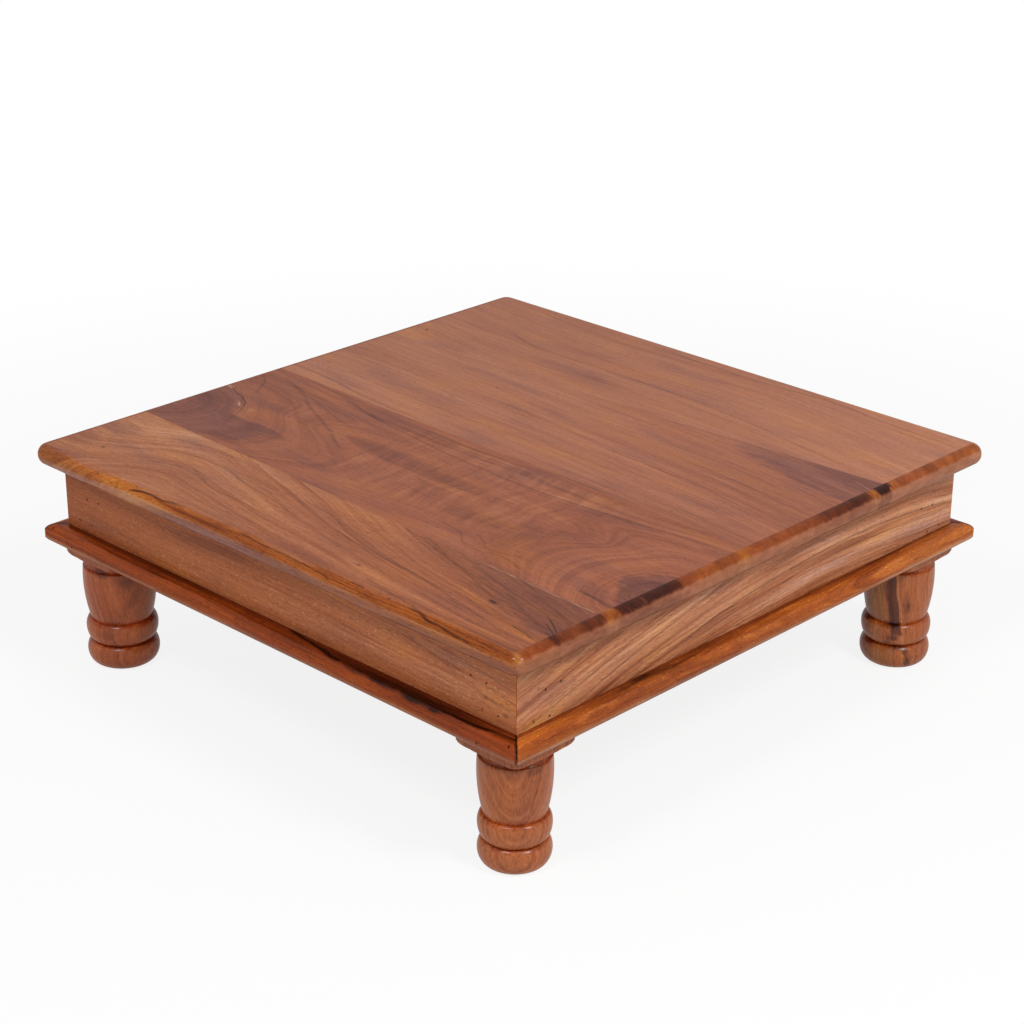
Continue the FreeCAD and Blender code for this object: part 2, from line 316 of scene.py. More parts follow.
def sees_background(f):
    """1 for a camera, mirror or see-through ray, and 0 for light that falls on things."""
    rays = f.node("ShaderNodeLightPath").outputs
    seen = f.math("MAXIMUM", rays["Is Camera Ray"], rays["Is Glossy Ray"])
    return f.math("MAXIMUM", seen, rays["Is Transmission Ray"])


def white_world():
    world = bpy.data.worlds.new("studio")
    bpy.context.scene.world = world
    world.use_nodes = True
    f = Formula(world.node_tree)
    room = f.tree.nodes["Background"]
    f.feed(room.inputs["Color"], WHITE)
    f.feed(room.inputs["Strength"], ROOM_LIGHT)
    white = f.node("ShaderNodeBackground", {"Color": WHITE, "Strength": 1.0})
    f.end(sees_background(f), room.outputs[0], white.outputs[0])


def white_floor():
    mesh = bpy.data.meshes.new("floor")
    corners = [(x * FLOOR_REACH, y * FLOOR_REACH, 0) for x, y in CORNERS]
    mesh.from_pydata(corners, [], [(0, 1, 2, 3)])
    floor = put_in_scene("floor", mesh)
    f = Finish("pale_floor")
    f.set(Base_Color=FLOOR_PALE, Roughness=0.9, Specular_IOR_Level=0.0)
    x, y, _ = f.places((0, 1, 2))
    white_share = f.smooth(f.length(x, y), *FLOOR_WHITENS, FLOOR_WHITE_SHARE, 1.0)
    glow = f.node("ShaderNodeEmission")
    f.end(white_share * sees_background(f), f.shader.outputs[0], glow.outputs[0])
    mesh.materials.append(f.material)


white_world()
white_floor()
print("floor:", FLOOR_REACH * 2, "m square")

# %% The two lamps
MIDDLE = Vector((0, 0, 0.10))
LAMP_DISTANCE, LAMP_SIDE = 1.8, 0.34


def soft_lamp(name, azimuth, elevation, power):
    """A square soft box that looks at the table. Azimuth 0 stands in front and 90 to the right."""
    light = bpy.data.lights.new(name, "AREA")
    light.shape = "SQUARE"
    light.size = LAMP_SIDE
    light.energy = power
    lamp = put_in_scene(name, light)
    turn, rise = math.radians(azimuth), math.radians(elevation)
    level = math.cos(rise)
    out = Vector((math.sin(turn) * level, -math.cos(turn) * level, math.sin(rise)))
    lamp.location = MIDDLE + out * LAMP_DISTANCE
    lamp.rotation_euler = out.to_track_quat("Z", "Y").to_euler()
    lamp.visible_camera = False
    print(name, "at", [round(v, 2) for v in lamp.location], "m,", power, "W")


soft_lamp("key_lamp", 86, 44, 15.0)
soft_lamp("fill_lamp", 14, 50, 9.5)

# %% [markdown]
# ## How a board gets its figure
#
# A tree lays down rings about its heart. Where a saw cuts them, their edges show as lines:
# near the heart as nested arches, further out as long lines that drift across the board. So
# each piece gets a ring field, a number that grows from one ring to the next. Bands of light
# and dark follow that field. Fibres and pores run along the grain instead.

# %% Bands, lines, fibres and pores
FIBRE_SIZE, LOOSE_FIBRE_SIZE = (22.0, 0.9, 0.9), (60.0, 2.2, 2.2)
PORE_SIZE, FLECK_SIZE = (4.2, 0.55, 0.55), (2.2, 0.9, 0.9)


def clouds(f, place, size, seed, detail=1.0, rough=0.5):
    """Noise whose patches have a size in millimetres along, across and through a piece."""
    along, across, deep = [distance / step for distance, step in zip(place, size)]
    return f.noise(along, across, deep + seed, detail, rough)


def bands(f, ring, along, width, reach, seed):
    """Light and dark that follow the rings, about one width across and changing over one reach."""
    return f.noise(ring / width, along / reach, seed)


def ring_lines(f, ring, along, spacing, seed):
    """The dark line in which each ring ends. Some rings have a strong one and some have none."""
    phase = ring / spacing + bands(f, ring, along, spacing * 3.1, 260.0, seed) * 1.8
    number = f.math("FLOOR", phase)
    part = f.math("FRACT", phase)
    line = f.smooth(part, 0.40, 0.93) * f.smooth(part, 1.0, 0.95)
    return line * f.smooth(f.noise(number * 2.37, along / 170.0, seed + 3.3), -0.08, 0.18)


def fibres(f, place, seed):
    """Hair-fine streaks along the grain."""
    tight = clouds(f, place, FIBRE_SIZE, seed, 2.0, 0.60)
    return tight + clouds(f, place, LOOSE_FIBRE_SIZE, seed) * 0.7


def pores(f, place, seed):
    """1 in the open pores, which are dark dashes a few millimetres long."""
    return f.smooth(clouds(f, place, PORE_SIZE, seed, 0.0), 0.13, 0.25)


def flecks(f, place, seed):
    """1 in the small pale glints where lacquer stands in an open pore."""
    return f.smooth(clouds(f, place, FLECK_SIZE, seed + 31.0, 0.0), 0.16, 0.30)


print("bands, lines, fibres and pores are ready")

# %% [markdown]
# Some things in a board happen once: a dark line, a streak of heart, a knot. They are marks,
# placed in millimetres from the middle of the table. A mark is a function that takes
# the colour so far and tints it, so the grain still shows inside. A line runs through its
# points, an area lies between two such lines, and a spot is an oval. One ragged noise, shared
# by all the marks of a piece, keeps their edges from looking drawn.

# %% Tints
BLACK = (0.10, 0.07, 0.09)
HEART = (0.24, 0.19, 0.26)
PLUM = (0.66, 0.68, 0.98)
BROWN = (0.66, 0.60, 0.62)
EMBER = (1.20, 1.24, 0.78)
TAN = (1.22, 1.42, 1.48)
PALE = (1.80, 3.00, 3.40)
# A dusty wood colour on the apron, and also a painted pinkish-grey reflection of the white floor on
# the lower halves of the rim and the moulding.
DUSTY_AND_SHEEN = (1.02, 1.22, 1.70)
# A painted reflection of the white floor, lightening the lower half of the rim.
WHITE_FLOOR_SHEEN = (1.16, 1.24, 1.26)
MAROON = (0.34, 0.24, 0.26)
HONEY = (1.30, 1.62, 1.00)
OCHRE = (1.07, 1.22, 0.98)
OLIVE = (0.82, 0.98, 0.92)
print("tints run from", BLACK, "to", PALE)


# %% Marks in the wood
def ends_of(f, x, points, fade):
    """Fades a mark in after its first point and out before its last one."""
    share = (x - points[0][0]) / (points[-1][0] - points[0][0])
    return f.smooth(share, 0.0, fade[0]) * f.smooth(share, 1.0, 1.0 - fade[1])


def line(points, width, tint, strength, fade=(0.15, 0.15)):
    """A dark or pale line through (along, across) points."""

    def mark(f, x, y, ragged, colour):
        away = abs(y - f.curve(x, points) + ragged * width * 1.6)
        body = f.smooth(away, width, width * 0.1) * f.smooth(ragged, -0.35, 0.05, 0.4, 1.0)
        return f.tint(body * ends_of(f, x, points, fade) * strength, colour, tint)

    return mark


def area(upper, lower, tint, strength, soft=(3.0, 3.0), fade=(0.1, 0.001)):
    """Wood of another colour between an upper and a lower line, each with its own softness."""

    def mark(f, x, y, ragged, colour):
        below_top = f.smooth(f.curve(x, upper) - y + ragged * soft[0] * 3.0, 0.0, soft[0])
        above_bottom = f.smooth(y - f.curve(x, lower) + ragged * soft[1] * 3.0, 0.0, soft[1])
        inside = below_top * above_bottom * ends_of(f, x, upper, fade)
        return f.tint(inside * strength, colour, tint)

    return mark


def spot(at, half, tint, strength, turn=0.0, soft=0.6):
    """An oval of other wood about a point, with its half length and half width."""

    def mark(f, x, y, ragged, colour):
        c, s = math.cos(math.radians(turn)), math.sin(math.radians(turn))
        away_x, away_y = x - at[0], y - at[1]
        long = (away_x * c + away_y * s) / half[0]
        wide = (away_y * c - away_x * s) / half[1]
        inside = f.smooth(f.length(long, wide) + ragged * 1.6, 1.0 + soft, 1.0 - soft)
        return f.tint(inside * strength, colour, tint)

    return mark


print("lines, areas and spots are ready")

# %% [markdown]
# ## The lacquered wood
#
# One recipe makes every wooden finish, and what differs is passed in. The ground is dull and
# the clear lacquer is a thin coat over it, with the same strength all over, so its numbers
# stand on the shader's own sockets. Where lacquer soaks into end grain or pools in a corner,
# the wood turns deep amber: raising a colour to a power makes it darker and purer at once.
# The same deepening also paints light: a dark reflection on the upper half of the top's rim,
# and shade on the top of the moulding and in the grooves of the legs.
# A low soft relief in the lacquer breaks up the glints, as brushed lacquer does.

# %% The recipe for lacquered wood
LACQUER_COAT, LACQUER_ROUGHNESS = 0.28, 0.19
AMBER, AMBER_POWER = (1.55, 1.85, 1.50), 1.45
BAND_SIZES = ((24.0, 300.0), (6.5, 170.0), (2.1, 110.0), (1.0, 60.0))
BAND_WEIGHTS = (0.60, 0.60, 0.75, 0.65)
LINE_STRENGTH = 0.20
TONE_PLACES = (0.0, 0.35, 0.55, 0.80, 1.0)
RAGGED_SIZE = (15.0, 5.5, 9.0)
WANDER_SIZE, WANDER_REACH = (150.0, 60.0, 60.0), 14.0
RIPPLE_SIZE, RIPPLE_REACH = (40.0, 14.0, 14.0), 3.6
WARMTH_SIZE = (70.0, 18.0, 18.0)
PEEL_SIZE = (4.5, 2.6, 2.6)


def deepened(f, colour, amount):
    """Darker and closer to amber: wood under more lacquer, and also painted shade and a painted dark
    reflection.
    """
    rich = f.node("ShaderNodeGamma", {"Color": colour, "Gamma": AMBER_POWER})
    return f.mix(amount, colour, f.tint(1.0, rich.outputs[0], AMBER))


def lacquered_wood(name, axes, ring_of, tones, seed, marks=(), contrast=1.0, spacing=9.0, wave=1.0,
                   weights=BAND_WEIGHTS, hair_weight=0.50, pore_strength=0.45, fleck_strength=0.12,
                   coat=LACQUER_COAT, coat_roughness=LACQUER_ROUGHNESS, depth=0.05,
                   drift=None, curl=None, last=None, unroll=None):
    """Drift, curl, last and unroll are what only some pieces have."""
    f = Finish(name)
    place = along, across, deep = f.places(axes)
    ragged = clouds(f, place, RAGGED_SIZE, seed, 2.0)
    wander = clouds(f, place, WANDER_SIZE, seed) * WANDER_REACH
    ripple = clouds(f, place, RIPPLE_SIZE, seed) * RIPPLE_REACH
    ring = ring_of(f, along, across + (wander + ripple) * wave, deep)
    hair = fibres(f, place, seed)
    figure = hair * hair_weight
    for (width, reach), weight in zip(BAND_SIZES, weights):
        figure = figure + bands(f, ring, along, width, reach, seed + width) * weight
    figure = figure - ring_lines(f, ring, along, spacing, seed) * LINE_STRENGTH
    tone = figure * contrast + 0.5
    if drift is not None:
        tone = tone + f.curve(along, drift)
    if curl is not None:
        tone = tone + curl(f, along, across, seed)
    colour = f.ramp(tone, tuple(zip(TONE_PLACES, tones)))
    warmth = clouds(f, place, WARMTH_SIZE, seed + 9.0)
    colour = f.tint(f.smooth(warmth, 0.0, 0.3, 0.0, 0.55), colour, EMBER)
    colour = f.tint(f.smooth(warmth, 0.0, -0.3, 0.0, 0.6), colour, PLUM)
    marked_across = across if unroll is None else unroll(f, across, deep)
    for mark in marks:
        colour = f.lay(mark, along, marked_across, ragged, colour)
    open_pores = pores(f, place, seed)
    colour = f.tint(open_pores * pore_strength, colour, HEART)
    colour = f.tint(flecks(f, place, seed) * fleck_strength, colour, PALE)
    if last is not None:
        colour = last(f, along, across, deep, ragged, colour)
    f.set(Base_Color=colour, Roughness=0.55, Specular_IOR_Level=0.0)
    f.set(Coat_Weight=coat, Coat_Roughness=coat_roughness)
    orange_peel = clouds(f, place, PEEL_SIZE, seed)
    f.relief(hair * 0.5 - open_pores * 0.8 + orange_peel * 1.1, depth)
    return f.material


print("lacquered wood is ready to use")

# %% [markdown]
# ## The four boards of the top
#
# Each board comes from another plank, so the figure stops dead at the glue lines. The front
# board is tan, with arches at its left end and lines that draw together to the right. The
# second is the showpiece: dark heart at both ends and a rippled, curly middle. The two behind
# it are quiet, with long lines, and share a plum-coloured patch at the right-hand end.

# %% Ring fields of the four boards
TOP_Z = round(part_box("top_board_1")[1][2] * MM, 2)
NOSE_RADIUS = 7.4
NOSE_MIDDLE_Z = TOP_Z - NOSE_RADIUS
BOARD_EDGE = 228.0
print("the top lies at", TOP_Z, "mm and its nose has its middle at", NOSE_MIDDLE_Z, "mm")
FRONT_DRAWS_IN = 230.0
FRONT_ARCHES, FRONT_ARCH_RISE = (-115.0, -215.0), 30.0
HEART_OFFSET, HEART_SLANT, HEART_DEPTH = 112.0, 0.02, 80.0
HEART_MIDDLE, HEART_REACH_RIGHT, HEART_REACH_LEFT = 40.0, 180.0, 260.0
HEART_FLATTENS = (35.0, 75.0)
THIRD_SLANT, THIRD_DROPS_FROM, THIRD_DROP = 0.05, 60.0, 0.0004
BACK_BENDS_LEFT, BACK_BENDS_RIGHT, BACK_BEND = -60.0, 20.0, 0.0006
CURLS_ALONG = ((-85.0, -50.0), (140.0, 112.0))  # from no curls to full curls, at each end
CURLS_ACROSS = ((-136.0, -108.0), (-18.0, -30.0))


def rings_front(f, x, y, z):
    """Arches at the left, and lines that close up towards the right-hand front corner."""
    below = TOP_Z - z
    tighter = f.math("EXPONENT", x / FRONT_DRAWS_IN)
    arches = (y + BOARD_EDGE - below * 0.9) * tighter
    return arches + f.smooth(x, *FRONT_ARCHES) * FRONT_ARCH_RISE


def rings_second(f, x, y, z):
    """Rings that dive under the middle and come up about a heart near each end."""
    off = y + HEART_OFFSET + x * HEART_SLANT
    right = f.math("MAXIMUM", x - HEART_MIDDLE, 0.0) / HEART_REACH_RIGHT
    left = f.math("MAXIMUM", HEART_MIDDLE - x, 0.0) / HEART_REACH_LEFT
    dive = f.math("MAXIMUM", 1.0 - right ** 4.0 - left ** 4.0, 0.0)
    depth = dive * HEART_DEPTH + (TOP_Z - z) * 0.8
    flatter = f.smooth(abs(off), *HEART_FLATTENS, 1.0, 0.5)
    return f.length(off, depth * flatter)


def rings_third(f, x, y, z):
    """Nearly straight lines that drop away at the right."""
    drop = f.math("MAXIMUM", x - THIRD_DROPS_FROM, 0.0)
    return y + x * THIRD_SLANT + drop * drop * THIRD_DROP + (TOP_Z - z) * 0.6


def rings_back(f, x, y, z):
    """Lines that bend back at the right and forward at the left."""
    right = f.math("MAXIMUM", x - BACK_BENDS_RIGHT, 0.0)
    left = f.math("MAXIMUM", BACK_BENDS_LEFT - x, 0.0)
    return y + right * right * BACK_BEND - left * left * BACK_BEND + (TOP_Z - z) * 0.5


def curly(f, x, y, seed):
    """Stripes across the grain in the middle of the board, where the fibres are wavy."""
    where = f.smooth(x, *CURLS_ALONG[0]) * f.smooth(x, *CURLS_ALONG[1])
    where = where * f.smooth(y, *CURLS_ACROSS[0]) * f.smooth(y, *CURLS_ACROSS[1])
    bend = f.noise(x / 70.0, y / 32.0, seed) * 14.0
    broad = f.noise((x + bend) / 6.5, y / 60.0, seed + 5.0, 1.0)
    fine = f.noise((x + bend + y * 0.15) / 2.0, y / 20.0, seed + 9.0)
    return (broad * 0.60 + fine * 0.40) * where


# %% [markdown]
# The rim of the top is rounded over. Its upper half is deep amber, almost black where heartwood
# meets it, and golden in a few pale places: partly lacquer that soaked in, and partly a painted
# dark reflection of the room above. The lower half is paler and pinkish-grey, a painted
# reflection of the white floor. A painted highlight sits on the rounded near corner. Marks at
# the rim are placed in the same coordinates, so the dark streaks run over the edge.

# %% The rim of the top
RIM_STAINS = (
    (-214, -190, BROWN, 0.6, 7.0), (-198, -193, MAROON, 0.8, 2.0), (-188, -156, BROWN, 0.8, 5.0),
    (-178, -154, MAROON, 0.6, 8.0), (-160, -155, MAROON, 0.5, 1.5), (-153, -143, HONEY, 0.85, 1.5),
    (-143, -88, MAROON, 0.98, 2.0), (-138, -94, HEART, 0.55, 7.0), (-92, -78, BROWN, 0.8, 6.0),
    (-76, -20, HONEY, 0.3, 9.0), (-60, -38, BROWN, 0.45, 5.0), (-34, -24, HONEY, 0.6, 3.0),
    (-14, 6, BROWN, 0.5, 5.0), (22, 79, BROWN, 0.7, 13.0), (46, 79, MAROON, 0.65, 11.0),
    (76, 99, HEART, 0.9, 6.0), (99, 106, HONEY, 0.9, 1.2), (106, 120, HEART, 0.98, 0.8),
    (108, 119, BLACK, 0.5, 2.0), (128, 138, BROWN, 0.6, 4.0), (158, 170, MAROON, 0.5, 4.0),
    (175, 215, HONEY, 0.25, 9.0), (190, 200, BROWN, 0.45, 4.0), (218, 229, TAN, 0.35, 3.0),
)
RIM_TONES = (
    (0.0, (0.150, 0.042, 0.014)), (0.5, (0.280, 0.084, 0.030)), (1.0, (0.420, 0.150, 0.060)),
)
AMBER_EDGE = (
    (-228, 223.6), (-190, 224.2), (-163, 225.6), (-139, 224.0), (-125, 223.5), (-112, 225.1),
    (-89, 225.3), (-75, 224.0), (-50, 223.5), (-10, 222.4), (12, 224.4), (47, 225.1), (58, 223.6),
    (90, 223.3), (101, 224.8), (125, 224.0), (184, 222.9), (228, 224.2),
)
ROUNDED_FROM = 220.4
AMBER_RISES, AMBER_LIFT, AMBER_LIFT_ON_END = (-175.0, -125.0), 2.4, 1.6
SCRATCHES_MIDDLE, SCRATCHES_HALF = -119.5, 18.5
SCRATCH_COLOUR = (0.38, 0.16, 0.065)
# Where a painted highlight sits on the rounded near corner of the top: its middle, reach and height.
GLINT_CORNER, GLINT_REACH, GLINT_ABOVE = (223.8, -223.8), (4.2, 1.0), (155.0, 157.5)
print(len(RIM_STAINS), "stains lie on the right-hand rim")


def rim_of(node):
    """The finish of the rim for one board, with the stains that fall on it."""
    low, high = [corner[1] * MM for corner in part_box(node)]
    stains = [stain for stain in RIM_STAINS if stain[1] > low and stain[0] < high]

    def rim_finish(f, x, y, z, ragged, colour):
        across_corner = f.smooth(abs(x) - abs(y) + ragged * 5.0, -2.5, 3.5)
        on_end = f.smooth(abs(x), ROUNDED_FROM, ROUNDED_FROM + 1.0) * across_corner
        right_end = f.smooth(x, ROUNDED_FROM, ROUNDED_FROM + 1.0) * across_corner
        on_side = f.smooth(abs(y) + ragged * 1.5 - f.curve(x, AMBER_EDGE), -0.3, 0.6)
        rim = f.math("MAXIMUM", on_end, on_side)
        mottle = f.noise(y / 10.0, z / 4.5, x / 10.0 + 3.0, 3.0, 0.6)
        colour = f.mix(on_end * 0.78, colour, f.ramp(mottle * 1.3 + 0.5, RIM_TONES))
        # Painted light on the rim: the upper half is deepened to amber, partly for lacquer that
        # soaked in and partly as a painted dark reflection of the room above.
        lift = f.smooth(x, *AMBER_RISES, 0.0, AMBER_LIFT) + on_end * AMBER_LIFT_ON_END
        upper = f.smooth(z + ragged * 1.8 - lift, NOSE_MIDDLE_Z - 1.2, NOSE_MIDDLE_Z + 1.2)
        colour = deepened(f, colour, rim * upper)
        colour = f.tint(on_side * upper, colour, OCHRE)
        colour = f.tint(rim * f.smooth(ragged, 0.02, 0.2) * upper * 0.5, colour, BROWN)
        # Below the split the rim is tinted paler and pinkish-grey: a painted reflection of the white
        # floor.
        lower = f.smooth(upper, 1.0, 0.0) * rim
        colour = f.tint(lower * 0.62, colour, DUSTY_AND_SHEEN)
        colour = f.tint(lower * 0.60, colour, WHITE_FLOOR_SHEEN)
        stained = right_end * (upper * 0.80 + 0.20)
        frayed = f.noise(y / 2.6, z / 3.0, 7.0, 2.0) * 11.0
        slip = y + ragged * 7.0 + frayed + (NOSE_MIDDLE_Z - z) * 0.35
        for start, stop, tint, strength, soft in stains:
            begun = f.smooth(slip, start - soft, start + soft)
            inside = begun * f.smooth(slip, stop + soft, stop - soft)
            colour = f.tint(inside * stained * strength, colour, tint)
        scratches = f.smooth(f.noise((y + z * 0.9) / 0.6, z / 7.0, 2.0), 0.10, 0.22)
        here = f.smooth(abs(y - SCRATCHES_MIDDLE), SCRATCHES_HALF, 12.0)
        colour = f.mix(scratches * here * right_end * upper * 0.35, colour, SCRATCH_COLOUR)
        # A painted highlight: a pale patch on the rounded near corner of the top.
        wear_and_light = f.length(x - GLINT_CORNER[0], y - GLINT_CORNER[1]) + ragged * 5.0
        return f.tint(f.smooth(wear_and_light, *GLINT_REACH) * f.smooth(z, *GLINT_ABOVE) * 0.50, colour, PALE)

    return rim_finish


def over_the_nose(f, y, z):
    """Unrolls the front rim, so that marks can be placed on it: it goes on below the edge."""
    return y - (TOP_Z - z) * 2.0


# %% Tones and marks of the front board
FRONT_TONES = (
    (0.170, 0.045, 0.018), (0.275, 0.078, 0.030), (0.340, 0.106, 0.042),
    (0.415, 0.152, 0.068), (0.490, 0.210, 0.108),
)
FRONT_DRIFT = ((-228, 0.30), (-60, 0.12), (80, -0.04), (228, -0.20))
FRONT_MARKS = (
    area(((-228, -138), (-190, -138), (-100, -141)), ((-228, -150), (-185, -168), (-100, -147)),
         TAN, 0.4, (2, 9), (0.25, 0.6)),
    area(((-150, -186), (-100, -190), (60, -206)), ((-150, -216), (-60, -217), (60, -216)), TAN,
         0.25, (8, 5), (0.3, 0.6)),
    area(((-228, -158), (-205, -157), (-180, -168)), ((-228, -178), (-205, -180), (-180, -172)),
         BROWN, 0.6, (5, 6), (0.01, 0.5)),
    area(((-228, -182), (-212, -184), (-190, -205)), ((-228, -212), (-210, -219), (-190, -215)),
         BROWN, 0.55, (6, 5), (0.01, 0.6)),
    area(((98, -150), (150, -149), (229, -153)), ((98, -151), (150, -176), (229, -208)), PLUM, 0.7,
         (1, 9), (0.25, 0.001)),
    area(((110, -150), (160, -150), (229, -154)), ((110, -151), (160, -168), (229, -190)), BROWN,
         0.2, (1, 9), (0.25, 0.001)),
    line(((-172, -164), (-158, -153), (-130, -149), (-90, -149)), 2.2, BROWN, 0.6),
    line(((-200, -197), (-170, -183), (-155, -172), (-138, -166), (-115, -164), (-70, -172),
         (-40, -177), (5, -189)), 1.7, HEART, 0.38, (0.06, 0.1)),
    line(((-196, -222), (-175, -213), (-158, -203), (-140, -190), (-118, -182), (-95, -181)), 1.2,
         HEART, 0.32),
    line(((-122, -181), (-100, -186), (-80, -192), (-60, -193), (0, -198)), 1.9, HEART, 0.36,
         (0.2, 0.3)),
    line(((-30, -163), (0, -166), (35, -178), (75, -187), (120, -193), (175, -204), (228, -215)),
         1.7, HEART, 0.33, (0.1, 0.2)),
    line(((45, -147), (72, -152), (100, -160), (125, -167), (165, -182), (200, -197)), 1.4, HEART,
         0.4, (0.1, 0.3)),
    line(((10, -178), (60, -186), (110, -191), (150, -198)), 1.2, HEART, 0.32, (0.3, 0.3)),
    line(((120, -178), (150, -187), (190, -199), (226, -208)), 3.4, EMBER, 0.8, (0.3, 0.1)),
    line(((148, -150), (175, -158), (200, -168), (228, -178)), 2.6, HEART, 0.26, (0.1, 0.1)),
    line(((140, -160), (165, -170), (190, -182), (215, -192)), 2.6, HEART, 0.2, (0.3, 0.2)),
    line(((200, -176), (213, -183), (229, -196)), 0.9, BLACK, 0.85, (0.2, 0.001)),
    line(((206, -183), (215, -188), (229, -197)), 0.8, BLACK, 0.8, (0.2, 0.001)),
    line(((214, -192), (222, -194), (229, -198)), 0.8, BLACK, 0.7, (0.3, 0.001)),
    line(((195, -199), (205, -201), (218, -204)), 0.8, BLACK, 0.7),
    # Painted highlight: a thin pale line along the glue line between the front and second boards,
    # where a slight step catches light.
    line(((112, -150.0), (160, -151.7), (222, -154.0)), 1.0, PALE, 0.62, (0.2, 0.05)),
    line(((-95, -222), (-60, -219), (-25, -220), (10, -224)), 1.3, HEART, 0.35),
    line(((85, -214), (110, -218), (145, -223)), 1.8, HEART, 0.35),
    line(((-126, -238), (-116, -230), (-105, -227), (-93, -228), (-79, -225.5), (-68, -223)), 2.8,
         HEART, 0.8, (0.12, 0.25)),
    line(((-122, -233), (-114, -229), (-105, -227.2), (-94, -227.6)), 1.4, BLACK, 0.35, (0.2, 0.3)),
    line(((-100, -234), (-70, -232), (-45, -232), (-10, -233)), 2.2, BROWN, 0.6, (0.2, 0.3)),
    line(((-22, -227.4), (-12, -225.6), (0, -227.2), (15, -228.2), (26, -228), (48, -230.3)), 2.3,
         HEART, 0.62, (0.2, 0.1)),
    line(((43, -226.7), (53, -229.8), (62, -230.4), (72, -231.9)), 2.2, HEART, 0.6, (0.1, 0.2)),
    line(((86, -226.4), (93, -224.6), (100, -227.4)), 2.0, HEART, 0.6),
    line(((60, -233), (90, -232), (120, -231), (135, -229)), 2.2, BROWN, 0.6, (0.2, 0.3)),
    line(((135, -224.4), (145, -225.8), (157, -230.5), (166, -231.2), (177, -233.5), (189, -236),
         (198, -239)), 3.6, HEART, 0.72, (0.08, 0.2)),
    line(((138, -225), (146, -226.6), (157, -230.6), (164, -231.4)), 1.8, BLACK, 0.3, (0.1, 0.2)),
    line(((170, -228), (195, -229), (222, -230)), 2.0, MAROON, 0.45, (0.2, 0.1)),
    area(((-118, -241), (-84, -241), (-41, -238), (34, -238), (120, -241)), ((-118, -258),
         (-84, -258), (-41, -258), (34, -258), (120, -256)), PLUM, 0.85, (2, 1), (0.12, 0.4)),
    spot((166, -185), (3.4, 1.3), BLACK, 0.9, -12),
    spot((73, -205), (1.8, 1.2), HEART, 0.6),
    spot((-189, -198.5), (1.9, 1.3), HEART, 0.7),
)
print("the front board has", len(FRONT_MARKS), "marks")

# %% Tones and marks of the second board
SECOND_TONES = (
    (0.150, 0.042, 0.022), (0.238, 0.066, 0.031), (0.300, 0.087, 0.040),
    (0.370, 0.122, 0.056), (0.450, 0.175, 0.085),
)
SECOND_MARKS = (
    area(((-60, -24), (40, -26), (120, -26), (229, -24)), ((-60, -30), (40, -50), (120, -48),
         (229, -42)), TAN, 0.5, (2, 12), (0.4, 0.001)),
    area(((-229, -60), (-212, -66), (-186, -78), (-172, -96), (-128, -97), (-100, -104)),
         ((-229, -140), (-180, -140), (-140, -134), (-128, -113), (-118, -110), (-100, -107)), PLUM,
         0.78, (2, 6), (0.001, 0.25)),
    area(((-229, -70), (-200, -76), (-172, -96), (-128, -97), (-104, -103)), ((-229, -100),
         (-180, -108), (-150, -113), (-126, -110), (-104, -107)), BROWN, 0.55, (3, 8),
         (0.001, 0.3)),
    area(((-170, -122), (-140, -124), (-108, -127)), ((-170, -137), (-140, -136), (-108, -134)),
         BROWN, 0.65, (5, 2), (0.3, 0.4)),
    spot((-160, -86), (13, 8), EMBER, 0.28, -30),
    spot((-187, -82), (2.8, 1.3), PALE, 0.75, -35),
    spot((-172, -84), (3.4, 2.2), TAN, 0.95, -35),
    spot((72, -103), (26, 8), BROWN, 0.55, 3),
    spot((108, -91), (10, 5), BROWN, 0.5),
    area(((-229, -58), (-220, -60), (-213, -66)), ((-229, -65), (-220, -65), (-213, -66.5)), PALE,
         0.75, (0.6, 0.6), (0.001, 0.2)),
    line(((-226, -31), (-212, -37), (-203, -48), (-193, -64)), 2.4, HEART, 0.42),
    line(((-225, -56), (-212, -66), (-195, -72), (-184, -79), (-177, -90), (-172, -100),
         (-166, -110)), 1.6, BLACK, 0.6, (0.05, 0.15)),
    line(((-194, -77), (-189, -80), (-184, -84)), 0.8, PALE, 0.6, (0.1, 0.1)),
    line(((-197, -26), (-160, -43), (-145, -52), (-120, -63), (-100, -73), (-80, -85), (-55, -92)),
         2.6, HEART, 0.36, (0.1, 0.2)),
    line(((-215, -22), (-180, -32), (-150, -42), (-110, -54), (-70, -66)), 2.0, BROWN, 0.6,
         (0.2, 0.4)),
    line(((-190, -40), (-160, -56), (-135, -72), (-110, -83)), 2.6, BROWN, 0.45, (0.2, 0.3)),
    line(((-158, -18), (-130, -25), (-100, -33), (-60, -38), (0, -45), (60, -47), (130, -43),
         (180, -37), (228, -33)), 1.6, HEART, 0.36, (0.08, 0.05)),
    line(((-140, -24), (-115, -29), (-85, -35)), 3.2, BROWN, 0.75),
    line(((-50, -57), (-20, -64), (30, -68), (95, -66)), 1.5, BROWN, 0.45, (0.2, 0.3)),
    line(((-60, -78), (-30, -80), (30, -83)), 1.3, BROWN, 0.35, (0.2, 0.4)),
    line(((50, -124), (80, -128), (95, -138), (108, -140), (122, -136), (140, -139), (155, -144)),
         1.3, HEART, 0.35),
    line(((88, -121), (103, -129), (112, -134), (128, -131), (136, -128), (148, -137)), 1.3, HEART,
         0.35),
    area(((95, -112), (125, -112), (160, -122)), ((95, -128), (125, -145), (160, -148)), EMBER, 0.6,
         (8, 5), (0.3, 0.4)),
    area(((196, -104), (205, -93), (214, -86), (229, -80)), ((196, -110), (203, -122), (214, -134),
         (229, -152)), PLUM, 0.95, (4, 7), (0.12, 0.001)),
    area(((198, -106), (210, -96), (229, -88)), ((198, -110), (210, -126), (229, -142)), HEART, 0.3,
         (7, 12), (0.25, 0.001)),
    line(((196, -107), (199, -101), (206, -92), (214, -87)), 1.6, HEART, 0.35, (0.1, 0.3)),
    line(((185, -137), (205, -140), (229, -143)), 2.6, BLACK, 0.5, (0.3, 0.001)),
)
print("the second board has", len(SECOND_MARKS), "marks")

